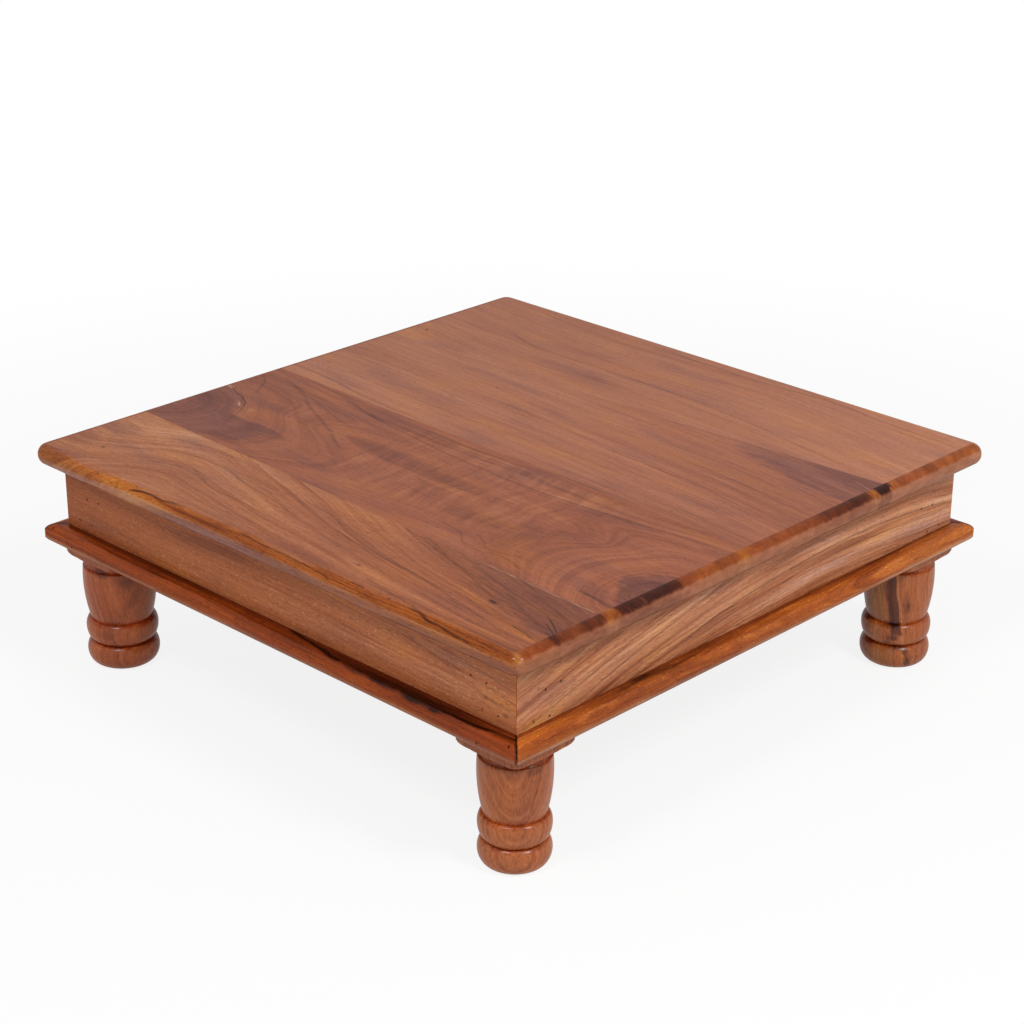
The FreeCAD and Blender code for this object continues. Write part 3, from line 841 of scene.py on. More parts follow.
# %% Tones and marks of the two back boards
QUIET_TONES = (
    (0.190, 0.060, 0.034), (0.295, 0.092, 0.046), (0.362, 0.122, 0.060),
    (0.420, 0.158, 0.082), (0.490, 0.210, 0.118),
)
QUIET = {
    "wave": 0.45, "weights": (0.50, 0.48, 0.62, 0.48), "hair_weight": 0.36, "pore_strength": 0.28,
}
THIRD_DRIFT = ((-228, 0.19), (-40, 0.10), (120, -0.05), (228, -0.15))
BACK_DRIFT = ((-228, 0.13), (0, 0.11), (120, 0.19), (228, 0.30))
THIRD_MARKS = (
    area(((-40, 8), (60, 20), (229, 4)), ((-40, -8), (60, -10), (229, -20)), TAN, 0.32, (14, 4),
         (0.5, 0.4)),
    area(((-229, 68), (-200, 66), (-150, 58)), ((-229, 45), (-200, 47), (-150, 52)), BROWN, 0.35,
         (8, 6), (0.001, 0.5)),
    area(((96, 112), (140, 116), (229, 122)), ((96, 108), (125, 95), (155, 86), (200, 76),
         (229, 73)), PLUM, 0.76, (1, 11), (0.16, 0.001)),
    area(((150, 116), (185, 118), (229, 122)), ((150, 108), (185, 100), (229, 88)), BROWN, 0.42,
         (1, 10), (0.4, 0.001)),
    line(((40, 107), (65, 108.5), (110, 111.5)), 1.7, BROWN, 0.7),
    line(((203, 112), (213, 108.5), (229, 103.5)), 0.9, PALE, 0.65, (0.2, 0.001)),
    line(((-229, 0), (-200, -1), (-170, -4), (-140, -9), (-100, -12), (-50, -13)), 1.7, HEART, 0.42,
         (0.001, 0.4)),
    line(((-229, -4), (-190, -5), (-150, -8)), 1.2, TAN, 0.6, (0.001, 0.4)),
    line(((-100, -15.5), (-60, -19), (-30, -20), (0, -20)), 1.8, HEART, 0.45),
    line(((0, -17), (30, -19), (60, -19.5), (100, -19), (128, -21)), 3.0, HEART, 0.45, (0.2, 0.3)),
    line(((-215, 42), (-180, 43), (-100, 38), (-20, 32), (60, 27), (140, 22)), 1.4, BROWN, 0.5,
         (0.1, 0.4)),
    line(((-200, 19), (-140, 14), (-80, 11), (-30, 7)), 1.8, BROWN, 0.55, (0.2, 0.3)),
    line(((0, 45), (60, 38), (130, 34), (180, 26), (229, 17)), 1.6, BROWN, 0.65, (0.3, 0.001)),
    line(((85, 60), (150, 56), (190, 49), (229, 43)), 1.6, BROWN, 0.6, (0.2, 0.2)),
    line(((-60, 52), (0, 46), (50, 42)), 1.4, BROWN, 0.5),
    line(((150, -4), (190, -8), (229, -13)), 1.3, BROWN, 0.55),
    spot((-94, 35), (4.0, 0.7), HEART, 0.5, -12),
    spot((-208, 20.5), (2.2, 0.8), HEART, 0.5, -20),
    spot((-82, 70), (2.2, 0.7), HEART, 0.4, -15),
)
BACK_MARKS = (
    area(((-229, 138), (-215, 134), (-188, 108)), ((-229, 100), (-210, 97), (-188, 99)), EMBER, 0.5,
         (4, 3), (0.001, 0.3)),
    line(((-224, 94), (-205, 95), (-188, 95.5), (-174, 99)), 1.8, HEART, 0.4),
    spot((-209, 121.5), (2.0, 0.9), HEART, 0.75, -40),
    line(((-178, 163), (-160, 163), (-145, 158), (-120, 153), (-40, 151), (20, 150), (80, 145),
         (140, 135), (215, 126)), 1.8, HEART, 0.34, (0.06, 0.2)),
    line(((20, 143), (70, 137), (130, 129)), 1.3, BROWN, 0.45),
    line(((-60, 218), (0, 213), (50, 213), (100, 216), (150, 211), (229, 206)), 2.2, HEART, 0.36,
         (0.15, 0.1)),
    line(((100, 208), (150, 204), (210, 201)), 1.4, BROWN, 0.5),
    area(((-160, 112), (-140, 112), (-95, 106)), ((-160, 98), (-140, 99), (-95, 100)), TAN, 0.35,
         (5, 4), (0.3, 0.5)),
    area(((-45, 112), (-10, 114), (30, 116)), ((-45, 104), (-10, 105), (30, 108)), TAN, 0.35,
         (4, 3), (0.3, 0.5)),
    spot((-50, 127), (34, 9), BROWN, 0.25),
)
print("the two back boards have", len(THIRD_MARKS), "and", len(BACK_MARKS), "marks")

# %% Finish the four boards
FLAT_ALONG_X = (0, 1, 2)  # the axes that run along, across and through such a piece


def wear(node, material):
    """Gives a piece of the model its finish, and leaves its shape alone."""
    slots = nodes[node].data.materials
    slots.clear()
    slots.append(material)


def board(node, ring_of, tones, seed, marks, **more):
    wear(node, lacquered_wood(node, FLAT_ALONG_X, ring_of, tones, seed, marks,
                              last=rim_of(node), **more))
    print(node, "finished")


board("top_board_1", rings_front, FRONT_TONES, 11.0, FRONT_MARKS, contrast=0.85, spacing=11.0,
      wave=0.8, weights=(0.70, 0.60, 0.65, 0.45), hair_weight=0.38, drift=FRONT_DRIFT,
      unroll=over_the_nose, fleck_strength=0.16)
board("top_board_2", rings_second, SECOND_TONES, 23.0, SECOND_MARKS, contrast=0.80, spacing=9.0,
      curl=curly, weights=(0.60, 0.60, 0.55, 0.45), hair_weight=0.38, pore_strength=0.35)
board("top_board_3", rings_third, QUIET_TONES, 37.0, THIRD_MARKS, contrast=0.68, spacing=10.0,
      drift=THIRD_DRIFT, **QUIET)
board("top_board_4", rings_back, QUIET_TONES, 53.0, BACK_MARKS, contrast=0.60, spacing=13.0,
      drift=BACK_DRIFT, **QUIET)

# %% [markdown]
# ## The apron
#
# The apron is four boards on edge, so its figure is read along the board and up it. The front
# one is an even red-brown full of short pores. The one on the right is lighter, with long
# dark lines that rise and fall like a drawn bow. The two that the photograph doesn't show
# take after these. At a mitre the two cut ends meet, and the joint holds a little dark glue.

# %% Tones and ring fields of the apron
APRON_TONES = (
    (0.230, 0.060, 0.020), (0.345, 0.093, 0.031), (0.400, 0.116, 0.040),
    (0.455, 0.152, 0.062), (0.530, 0.210, 0.098),
)
APRON_LIGHT_TONES = (
    (0.215, 0.066, 0.030), (0.370, 0.124, 0.053), (0.475, 0.184, 0.082),
    (0.575, 0.258, 0.135), (0.660, 0.350, 0.212),
)
APRON_FRONT_DRIFT = ((-228, 0.0), (0, 0.10), (228, 0.26))
APRON_RIGHT_DRIFT = ((-228, 0.04), (-120, 0.03), (20, 0.0), (228, 0.16))
APRON_FACE = round(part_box("apron_right")[1][0] * MM, 2)
BOW_TOP, BOW_FALL = 95.0, 0.00052
print("the apron's face stands", APRON_FACE, "mm from the middle")


def rings_even(f, along, up, through):
    """Nearly straight lines with a slight slope."""
    return up + along * 0.03 + through * 0.6


def rings_bowed(f, along, up, through):
    """Lines that climb from the near corner and fall again at the far end."""
    off = along - BOW_TOP
    return up + off * off * BOW_FALL + through * 0.5


def mitred(f, along, across, ragged, reach):
    """1 at the mitres, where the two strips meet on the diagonal."""
    return f.smooth(abs(abs(along) - abs(across)) + ragged * reach, reach, reach * 0.2)


def apron_finish(f, along, up, through, ragged, colour):
    return deepened(f, colour, mitred(f, along, through, ragged, 1.1))


# %% Marks on the apron
APRON_RIGHT_MARKS = (
    area(((-214, 147), (-160, 147), (-60, 147)), ((-214, 118), (-170, 128), (-60, 143)), BROWN,
         0.55, (1, 9), (0.001, 0.5)),
    area(((-200, 116), (-120, 134), (0, 140)), ((-200, 106), (-120, 118), (0, 130)), TAN, 0.45,
         (5, 5), (0.2, 0.4)),
    line(((-150, 97), (-81, 108), (-31, 118), (30, 125), (100, 128), (160, 125), (218, 118)), 1.3,
         HEART, 0.55, (0.1, 0.05)),
    line(((-100, 101), (-40, 111), (20, 118), (90, 121), (160, 118), (218, 111)), 0.8, HEART, 0.45,
         (0.2, 0.1)),
    line(((-90, 99), (0, 105), (69, 107), (130, 105), (175, 100)), 1.0, HEART, 0.45, (0.2, 0.1)),
    line(((-120, 108), (-70, 119), (-10, 130), (60, 136), (140, 137)), 0.9, HEART, 0.4, (0.1, 0.3)),
    line(((-150, 108), (-100, 122), (-50, 133), (0, 141)), 0.8, HEART, 0.36, (0.1, 0.3)),
    line(((60, 141), (130, 143), (200, 139)), 1.0, HEART, 0.36),
    line(((-60, 101), (20, 111), (80, 114), (150, 111), (200, 104)), 1.6, TAN, 0.55, (0.2, 0.2)),
    area(((-60, 121), (20, 128), (100, 131), (180, 128), (228, 122)), ((-60, 114), (20, 121),
         (100, 124), (180, 120), (228, 113)), TAN, 0.45, (2, 3), (0.3, 0.001)),
    area(((0, 116), (80, 119), (160, 115), (228, 108)), ((0, 108), (80, 110), (160, 106),
         (228, 100)), DUSTY_AND_SHEEN, 0.6, (3, 3), (0.3, 0.001)),
    line(((-214, 101), (-170, 113), (-120, 126), (-80, 134)), 1.2, HEART, 0.45, (0.1, 0.3)),
    line(((-205, 96), (-160, 106), (-110, 119), (-60, 130), (-20, 137)), 1.0, HEART, 0.4,
         (0.1, 0.3)),
    line(((-190, 96), (-150, 103), (-100, 114), (-50, 124)), 1.6, BROWN, 0.55, (0.2, 0.3)),
    spot((-205, 100), (26, 5), EMBER, 0.8, 15),
)
APRON_FRONT_MARKS = (
    line(((110, 136), (160, 126), (209, 112)), 1.6, BROWN, 0.5),
    line(((60, 122), (130, 119), (200, 112)), 1.2, BROWN, 0.45),
    line(((90, 143), (150, 137), (226, 127)), 1.1, HEART, 0.3, (0.4, 0.001)),
    line(((70, 138), (140, 131), (226, 119)), 1.3, HEART, 0.32, (0.4, 0.001)),
    line(((120, 126), (170, 121), (226, 111)), 1.1, HEART, 0.3, (0.3, 0.001)),
    line(((-60, 127), (40, 124), (140, 117)), 1.3, BROWN, 0.35, (0.3, 0.3)),
    spot((189, 117), (1.7, 1.1), HEART, 0.45),
    spot((205, 111), (2.0, 1.4), HEART, 0.45),
    line(((-20, 116), (60, 112), (150, 110)), 1.2, BROWN, 0.35),
)
print("apron marks:", len(APRON_FRONT_MARKS), "in front,", len(APRON_RIGHT_MARKS), "at the right")

# %% Finish the apron
ON_EDGE_ALONG_X, ON_EDGE_ALONG_Y = (0, 2, 1), (1, 2, 0)


def apron(node, axes, ring_of, tones, seed, marks=(), **more):
    wear(node, lacquered_wood(node, axes, ring_of, tones, seed, marks, spacing=8.0,
                              last=apron_finish, **more))
    print(node, "finished")


apron("apron_front", ON_EDGE_ALONG_X, rings_even, APRON_TONES, 61.0, APRON_FRONT_MARKS,
      contrast=0.70, pore_strength=0.42, fleck_strength=0.30, drift=APRON_FRONT_DRIFT)
apron("apron_right", ON_EDGE_ALONG_Y, rings_bowed, APRON_LIGHT_TONES, 67.0, APRON_RIGHT_MARKS,
      contrast=0.90, weights=(0.90, 1.15, 0.80, 0.50), hair_weight=0.34, drift=APRON_RIGHT_DRIFT)
apron("apron_back", ON_EDGE_ALONG_X, rings_bowed, APRON_TONES, 71.0, contrast=0.8)
apron("apron_left", ON_EDGE_ALONG_Y, rings_even, APRON_LIGHT_TONES, 79.0,
      contrast=0.7, fleck_strength=0.2)

# %% [markdown]
# ## The base moulding
#
# The moulding is redder and more deeply coloured than the boards above it. Its top is darker
# still: partly lacquer that runs down the apron and gathers there, and partly painted shade,
# deepest next to the apron. The underside of the nose is paler, a painted pinkish-grey
# reflection of the white floor. The front strip shows a dark streak of heartwood, and the strip
# on the right is golden, with pale flecks. Its mitres have opened, and the crack has a dark
# ragged edge.

# %% Tones of the moulding, and how lacquer lies on it
MOULDING_RED_TONES = (
    (0.182, 0.045, 0.014), (0.270, 0.068, 0.020), (0.325, 0.086, 0.025),
    (0.396, 0.115, 0.036), (0.484, 0.160, 0.056),
)
MOULDING_GOLD_TONES = (
    (0.225, 0.063, 0.023), (0.330, 0.100, 0.034), (0.390, 0.127, 0.043),
    (0.465, 0.170, 0.062), (0.575, 0.262, 0.112),
)
MOULDING_LOW_Z, MOULDING_HIGH_Z = [round(corner[2] * MM, 2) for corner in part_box("moulding_right")]
# Painted shade darkens the moulding's top this far out from the apron's face.
APRON_SHADE_REACH = 7.5  # this far out from the apron's face
print("the moulding reaches from", MOULDING_LOW_Z, "to", MOULDING_HIGH_Z, "mm")


def rings_flat(f, along, across, through):
    return across * 0.9 + along * 0.02 + through * 0.8


def moulding_finish(f, along, across, up, ragged, colour):
    """Painted shade darkens the top next to the apron. The top is also deepened, for lacquer and
    painted shade, and the nose below gets a painted reflection of the white floor.
    """
    # Painted shade: darker towards the apron's face.
    apron_shade = f.smooth(abs(across) + ragged * 5.0, APRON_FACE + APRON_SHADE_REACH, APRON_FACE)
    colour = f.tint(apron_shade, colour, BROWN)
    height = (up - MOULDING_LOW_Z) / (MOULDING_HIGH_Z - MOULDING_LOW_Z)
    # The upper part is deepened, partly for lacquer gathered there and partly as painted shade;
    # below it the nose gets a painted pinkish-grey reflection of the white floor.
    upper = f.smooth(height + ragged * 0.25, 0.30, 0.52)
    colour = deepened(f, colour, upper)
    colour = f.tint(f.smooth(upper, 1.0, 0.0) * 0.75, colour, DUSTY_AND_SHEEN)
    crack = mitred(f, along, across, ragged * 1.6, 2.0)
    return f.tint(crack * f.smooth(ragged, 0.35, -0.1, 0.5, 1.0), colour, HEART)


# %% Marks on the moulding, and its finish
MOULDING_FRONT_MARKS = (
    area(((60, -213), (140, -213), (216, -213)), ((60, -221), (140, -223), (216, -219)), BROWN, 0.5,
         (1, 1.6), (0.3, 0.1)),
    # Painted shade: a dark band on the moulding's top along the foot of the apron, at the left.
    area(((-216, -213), (-100, -213), (-20, -213)), ((-216, -219), (-100, -221), (-20, -219)),
         MAROON, 0.48, (1, 3.0), (0.05, 0.3)),
    line(((15, -214), (48, -218.5), (82, -222), (140, -223), (186, -221), (226, -217)), 2.2, BLACK,
         0.85, (0.05, 0.05)),
    area(((30, -214), (90, -215), (150, -216), (200, -214)), ((30, -217), (90, -222.5),
         (150, -223.5), (200, -219)), HEART, 0.6, (3, 1.5), (0.2, 0.3)),
    line(((90, -219), (130, -220), (170, -219)), 2.2, BLACK, 0.5, (0.3, 0.3)),
    # Painted shade: two dark lines in that same shaded band at the left.
    line(((-200, -219), (-120, -222), (-40, -221)), 1.6, HEART, 0.4, (0.2, 0.3)),
    line(((-228, -221), (-60, -221), (60, -224)), 1.6, BROWN, 0.4),
)
MOULDING_RIGHT_MARKS = (
    spot((-97, 219), (20, 2.8), HEART, 0.62, 7),
    spot((-116, 217), (14, 2.2), HEART, 0.5, -5),
    spot((-40, 221), (30, 1.6), BROWN, 0.45, 2),
    spot((-68, 219), (18, 1.6), BROWN, 0.6, -4),
    spot((-150, 220), (24, 1.8), BROWN, 0.5, 3),
    spot((10, 222), (22, 1.4), BROWN, 0.45, -2),
    spot((80, 221), (13, 2.0), TAN, 0.6),
    spot((30, 219), (9, 1.6), TAN, 0.7),
    area(((-228, 230), (0, 230), (110, 230)), ((-228, 222.5), (0, 223), (110, 226)), BROWN, 0.62,
         (1, 3.0), (0.02, 0.3)),
    area(((105, 230), (160, 230), (229, 230)), ((105, 218), (160, 214.5), (229, 213)), TAN, 0.62,
         (1, 3), (0.35, 0.001)),
)
FLAT_ALONG_Y = (1, 0, 2)


def moulding(node, axes, tones, seed, marks=(), **more):
    wear(node, lacquered_wood(node, axes, rings_flat, tones, seed, marks, spacing=7.0,
                              last=moulding_finish, **more))
    print(node, "finished")


moulding("moulding_front", FLAT_ALONG_X, MOULDING_RED_TONES, 83.0, MOULDING_FRONT_MARKS,
         contrast=0.8)
moulding("moulding_right", FLAT_ALONG_Y, MOULDING_GOLD_TONES, 89.0, MOULDING_RIGHT_MARKS,
         contrast=1.0, pore_strength=0.30, fleck_strength=0.28)
moulding("moulding_back", FLAT_ALONG_X, MOULDING_RED_TONES, 97.0, contrast=0.8)
moulding("moulding_left", FLAT_ALONG_Y, MOULDING_GOLD_TONES, 101.0,
         contrast=0.8, fleck_strength=0.25)

# %% [markdown]
# ## The unseen wood
#
# The corner blocks, cleats and battens are offcuts of cheap pale wood, sawn and never
# finished. They need no gloss: a dull surface, a faint grain and the marks of the saw,
# which cross the grain at a steady pitch.

# %% Bare sawn wood
SAWN_TONES = ((0.0, (0.33, 0.20, 0.10)), (0.5, (0.50, 0.33, 0.18)), (1.0, (0.62, 0.45, 0.27)))
SAW_PITCH = 1.7


def sawn_wood(name, axes, seed):
    f = Finish(name)
    place = along, across, deep = f.places(axes)
    ring = across + deep * 0.7 + f.noise(along / 120.0, across / 30.0, seed) * 14.0
    hair = fibres(f, place, seed)
    tone = 0.5 + bands(f, ring, along, 4.0, 200.0, seed) * 1.1 + hair * 0.4
    pitch = f.math("SINE", (along + across * 0.15) * (2.0 * math.pi / SAW_PITCH))
    deeper = f.smooth(f.noise(along / 30.0, across / 18.0, seed + 4.0), -0.15, 0.2)
    f.set(Base_Color=f.ramp(tone, SAWN_TONES), Roughness=0.82 + hair * 0.2, Specular_IOR_Level=0.2)
    f.relief(pitch * deeper * 0.5 + hair, 0.10)
    return f.material


UPRIGHT = (2, 0, 1)
sawn_along_x = sawn_wood("sawn_wood_x", FLAT_ALONG_X, 3.0)
sawn_along_y = sawn_wood("sawn_wood_y", FLAT_ALONG_Y, 5.0)
sawn_upright = sawn_wood("sawn_wood_z", UPRIGHT, 7.0)
for node in nodes:
    if node in ("cleat_front", "cleat_back"):
        wear(node, sawn_along_x)
    elif node.startswith(("cleat_", "batten_")) and not node.endswith("screws"):
        wear(node, sawn_along_y)
    elif node.startswith("corner_block"):
        wear(node, sawn_upright)
print("cleats, battens and corner blocks are bare wood")

# %% [markdown]
# ## Turning the legs
#
# A leg is square stock, spun on a lathe. The lathe leaves every slice round, and the head
# stays square only where the stock was too thin to reach the full radius. Geometry Nodes can
# do just that: a grid is rolled into a tube, each row takes its radius and height from one
# point of the profile, and whatever stands outside the square stock is pressed back onto its
# faces, with a small radius left along the arrises. Hand turning is never perfect, so a
# little seeded noise goes into the radius.

# %% The profile of a leg
LEG_FLAT, LEG_FOOT, LEG_FOOT_NECK = (0.320, 0.0), (0.456, 0.1125), (0.364, 0.202)
LEG_BEAD, LEG_BODY_NECK, LEG_BODY = (0.455, 0.3125), (0.389, 0.389), (0.452, 0.602)
LEG_BODY_TOP, LEG_QUIRK = (0.453, 0.834), (0.424, 0.848)
LEG_COVE, LEG_SHOULDER, LEG_HEAD = (0.540, 0.904), (0.620, 0.907), (0.720, 0.960)
LEG_TURNED = (
    LEG_FLAT, LEG_FOOT, LEG_FOOT_NECK, LEG_BEAD, LEG_BODY_NECK, LEG_BODY, LEG_BODY_TOP, LEG_QUIRK,
)
LEG_SQUARE = (LEG_COVE, LEG_SHOULDER, LEG_HEAD)
CURVE_STEPS = 9


def quarter_oval(level, upright, steps=CURVE_STEPS):
    """Points of a quarter oval from its level end to its upright end."""
    points = []
    for step in range(steps + 1):
        t = math.pi / 2 * step / steps
        r = level[0] + (upright[0] - level[0]) * math.sin(t)
        points.append((r, upright[1] + (level[1] - upright[1]) * math.cos(t)))
    return points


def curve_through(low, middle, high, steps):
    """Points of a smooth curve through three points, at even heights."""
    points = []
    for step in range(steps + 1):
        z = low[1] + (high[1] - low[1]) * step / steps
        r = 0.0
        for one, other, another in ((low, middle, high), (middle, low, high), (high, low, middle)):
            pull = one[0] * (z - other[1]) * (z - another[1])
            r += pull / ((one[1] - other[1]) * (one[1] - another[1]))
        points.append((r, z))
    return points


def leg_profile(stock, height, girth, tenon_radius, tenon_top):
    """(radius, height) points of a leg in metres, from under its foot to its tenon's end."""
    flat, foot, foot_neck, bead, body_neck, body, body_top, quirk = [
        (r * girth * stock, z * height) for r, z in LEG_TURNED]
    cove, shoulder, head = [(r * stock, z * height) for r, z in LEG_SQUARE]
    rim = (body_top[1] - quirk[1]) * 0.7
    top = (body_top[0], body_top[1] + rim)
    outline = [(0.0, 0.0)] + quarter_oval(flat, foot)
    outline += quarter_oval(foot_neck, foot)[-2::-1] + quarter_oval(foot_neck, bead)[1:]
    outline += quarter_oval(body_neck, bead)[-2::-1]
    outline += curve_through(body_neck, body, top, 18)[1:]
    outline += quarter_oval((top[0] + rim * 0.6, body_top[1]), top, 4)[-2::-1]
    outline += quarter_oval(cove, quirk)[::-1] + quarter_oval(shoulder, head)
    outline += [(head[0], height), (tenon_radius, height)]
    outline += [(tenon_radius, tenon_top), (0.0, tenon_top)]
    return outline


print("a leg's profile has", len(leg_profile(0.05, 0.088, 1.0, 0.008, 0.118)), "points")

# %% Trees of Geometry Nodes
FULL_TURN = 2 * math.pi
SEAM = 0.000002  # points nearer than this are one


class NodeShop(Formula):
    """A Geometry Nodes tree in the making. Its inputs have names."""

    def __init__(self, name):
        super().__init__(bpy.data.node_groups.new(name, "GeometryNodeTree"))
        for way in ("INPUT", "OUTPUT"):
            self.tree.interface.new_socket("Geometry", in_out=way, socket_type="NodeSocketGeometry")
        self.entry = self.node("NodeGroupInput")
        self.identifiers = {}

    def ask(self, name, kind, default=None):
        """A named input of the tree, as a field that other nodes are fed from."""
        kind = "NodeSocket" + kind
        socket = self.tree.interface.new_socket(name, in_out="INPUT", socket_type=kind)
        if default is not None:
            socket.default_value = default
        self.identifiers[name] = socket.identifier
        return Field(self, self.entry.outputs[name])

    def rolled_grid(self, sides, rows):
        """A grid whose columns go round and whose rows go up: the grid, its row and its angle."""
        grid = self.node("GeometryNodeMeshGrid", {"Vertices X": sides + 1, "Vertices Y": rows})
        index = Field(self, self.node("GeometryNodeInputIndex").outputs[0])
        column = self.math("FLOOR", (index + 0.5) / rows)
        return grid.outputs[0], self.math("MODULO", index, rows), column / sides * FULL_TURN

    def bent(self, grid, radius, angle, height):
        """The grid with its points moved round an upright axis, its seam and poles closed."""
        cosine, sine = self.math("COSINE", angle), self.math("SINE", angle)
        return self.moved(grid, self.join(radius * cosine, radius * sine, height))

    def moved(self, grid, points):
        shaped = self.node("GeometryNodeSetPosition", {"Geometry": grid, "Position": points})
        inputs = {"Geometry": shaped.outputs[0], "Distance": SEAM}
        return self.node("GeometryNodeMergeByDistance", inputs).outputs[0]

    def finish(self, geometry, material):
        """Ends the tree as every tree here ends: real geometry, then its material."""
        real = self.node("GeometryNodeRealizeInstances", {"Geometry": geometry})
        inputs = {"Geometry": real.outputs[0], "Material": material}
        coated = self.node("GeometryNodeSetMaterial", inputs)
        self.node("NodeGroupOutput", {"Geometry": coated.outputs[0]})
        print("the", self.tree.name, "asks for", ", ".join(self.identifiers))
        return self


print("points nearer than", SEAM * MM, "mm are merged")


# %% A lathe in Geometry Nodes
def profile_at(shop, row):
    """The radius and the height of one point of the profile that the tree starts from."""
    inputs = {
        "Geometry": shop.entry.outputs["Geometry"], "Index": row,
        "Value": shop.node("GeometryNodeInputPosition").outputs[0],
    }
    sample = shop.node("GeometryNodeSampleIndex", data_type="FLOAT_VECTOR", domain="POINT")
    for name, value in inputs.items():
        shop.feed(sample.inputs[name], value)
    point = shop.node("ShaderNodeSeparateXYZ", {0: sample.outputs[0]})
    return Field(shop, point.outputs[0]), Field(shop, point.outputs[2])


def lathe_tree():
    """Rolls a grid into a tube whose rows follow the profile, pressed into square stock."""
    shop = NodeShop("lathe")
    sides = shop.ask("Sides", "Int", 128)
    rows = shop.ask("Profile points", "Int", 80)
    half = shop.ask("Half stock", "Float", 0.025)
    arris = shop.ask("Arris radius", "Float", 0.0008)
    unevenness = shop.ask("Unevenness", "Float", 0.0)
    seed = shop.ask("Seed", "Float", 0.0)
    middle = shop.ask("Middle", "Vector", (0.0, 0.0, 0.0))
    material = shop.ask("Material", "Material")
    grid, row, angle = shop.rolled_grid(sides, rows)
    radius, height = profile_at(shop, row)
    cosine, sine = shop.math("COSINE", angle), shop.math("SINE", angle)
    swell = shop.noise(cosine * 0.9, sine * 0.9, height * 45.0 + seed) * unevenness
    uneven = radius * (swell + 1.0)
    inner = half - arris
    kept, outside = [], []
    for distance in (uneven * cosine, uneven * sine):
        kept.append(shop.math("MAXIMUM", shop.math("MINIMUM", distance, inner), -inner))
        outside.append(distance - kept[-1])
    reach = shop.math("MAXIMUM", shop.length(*outside), 0.000001)
    share = shop.math("MINIMUM", arris / reach, 1.0)
    x, y = [inside + beyond * share for inside, beyond in zip(kept, outside)]
    inputs = {0: shop.join(x, y, height), 1: middle}
    points = shop.node("ShaderNodeVectorMath", inputs, operation="ADD").outputs[0]
    smooth = shop.node("GeometryNodeSetShadeSmooth", {"Geometry": shop.moved(grid, points)})
    return shop.finish(smooth.outputs[0], material)


lathe = lathe_tree()


# %% Running a tree on an object
def merged(mesh):
    """A mesh opened for editing, with its doubles merged."""
    shape = bmesh.new()
    shape.from_mesh(mesh)
    bmesh.ops.remove_doubles(shape, verts=shape.verts, dist=0.000001)
    return shape


def outward(mesh, sharp_degrees):
    """Points every face outwards and keeps edges sharp above an angle."""
    shape = merged(mesh)
    bmesh.ops.dissolve_degenerate(shape, edges=shape.edges, dist=0.000001)
    bmesh.ops.recalc_face_normals(shape, faces=shape.faces)
    open_edges = sum(1 for edge in shape.edges if not edge.is_manifold)
    shape.to_mesh(mesh)
    shape.free()
    mesh.set_sharp_from_angle(angle=math.radians(sharp_degrees))
    return open_edges


def start_mesh(name, points, edges=()):
    start = bpy.data.meshes.new(name + "_start")
    start.from_pydata(points, edges, [])
    return start


def run_tree(shop, name, start, settings, sharp_degrees):
    """Runs a tree on a start mesh and returns the result as a plain object."""
    maker = put_in_scene(name + "_maker", start)
    modifier = maker.modifiers.new("nodes", "NODES")
    modifier.node_group = shop.tree
    for setting, value in settings.items():
        modifier[shop.identifiers[setting]] = value
    graph = bpy.context.evaluated_depsgraph_get()
    mesh = bpy.data.meshes.new_from_object(maker.evaluated_get(graph))
    bpy.data.objects.remove(maker)
    open_edges = outward(mesh, sharp_degrees)
    print(name, len(mesh.polygons), "faces,", open_edges, "open edges")
    return put_in_scene(name, mesh)


print("the lathe runs on", lathe.tree.name, "with", len(lathe.tree.nodes), "nodes")

# %% [markdown]
# The legs were turned from other planks than the top, with the grain upright. On the near
# leg the rings come to the surface as nested arches. The leg on the right has a dark streak
# of heart and small knots. Lathe work leaves fine rings, which the lacquer softens.

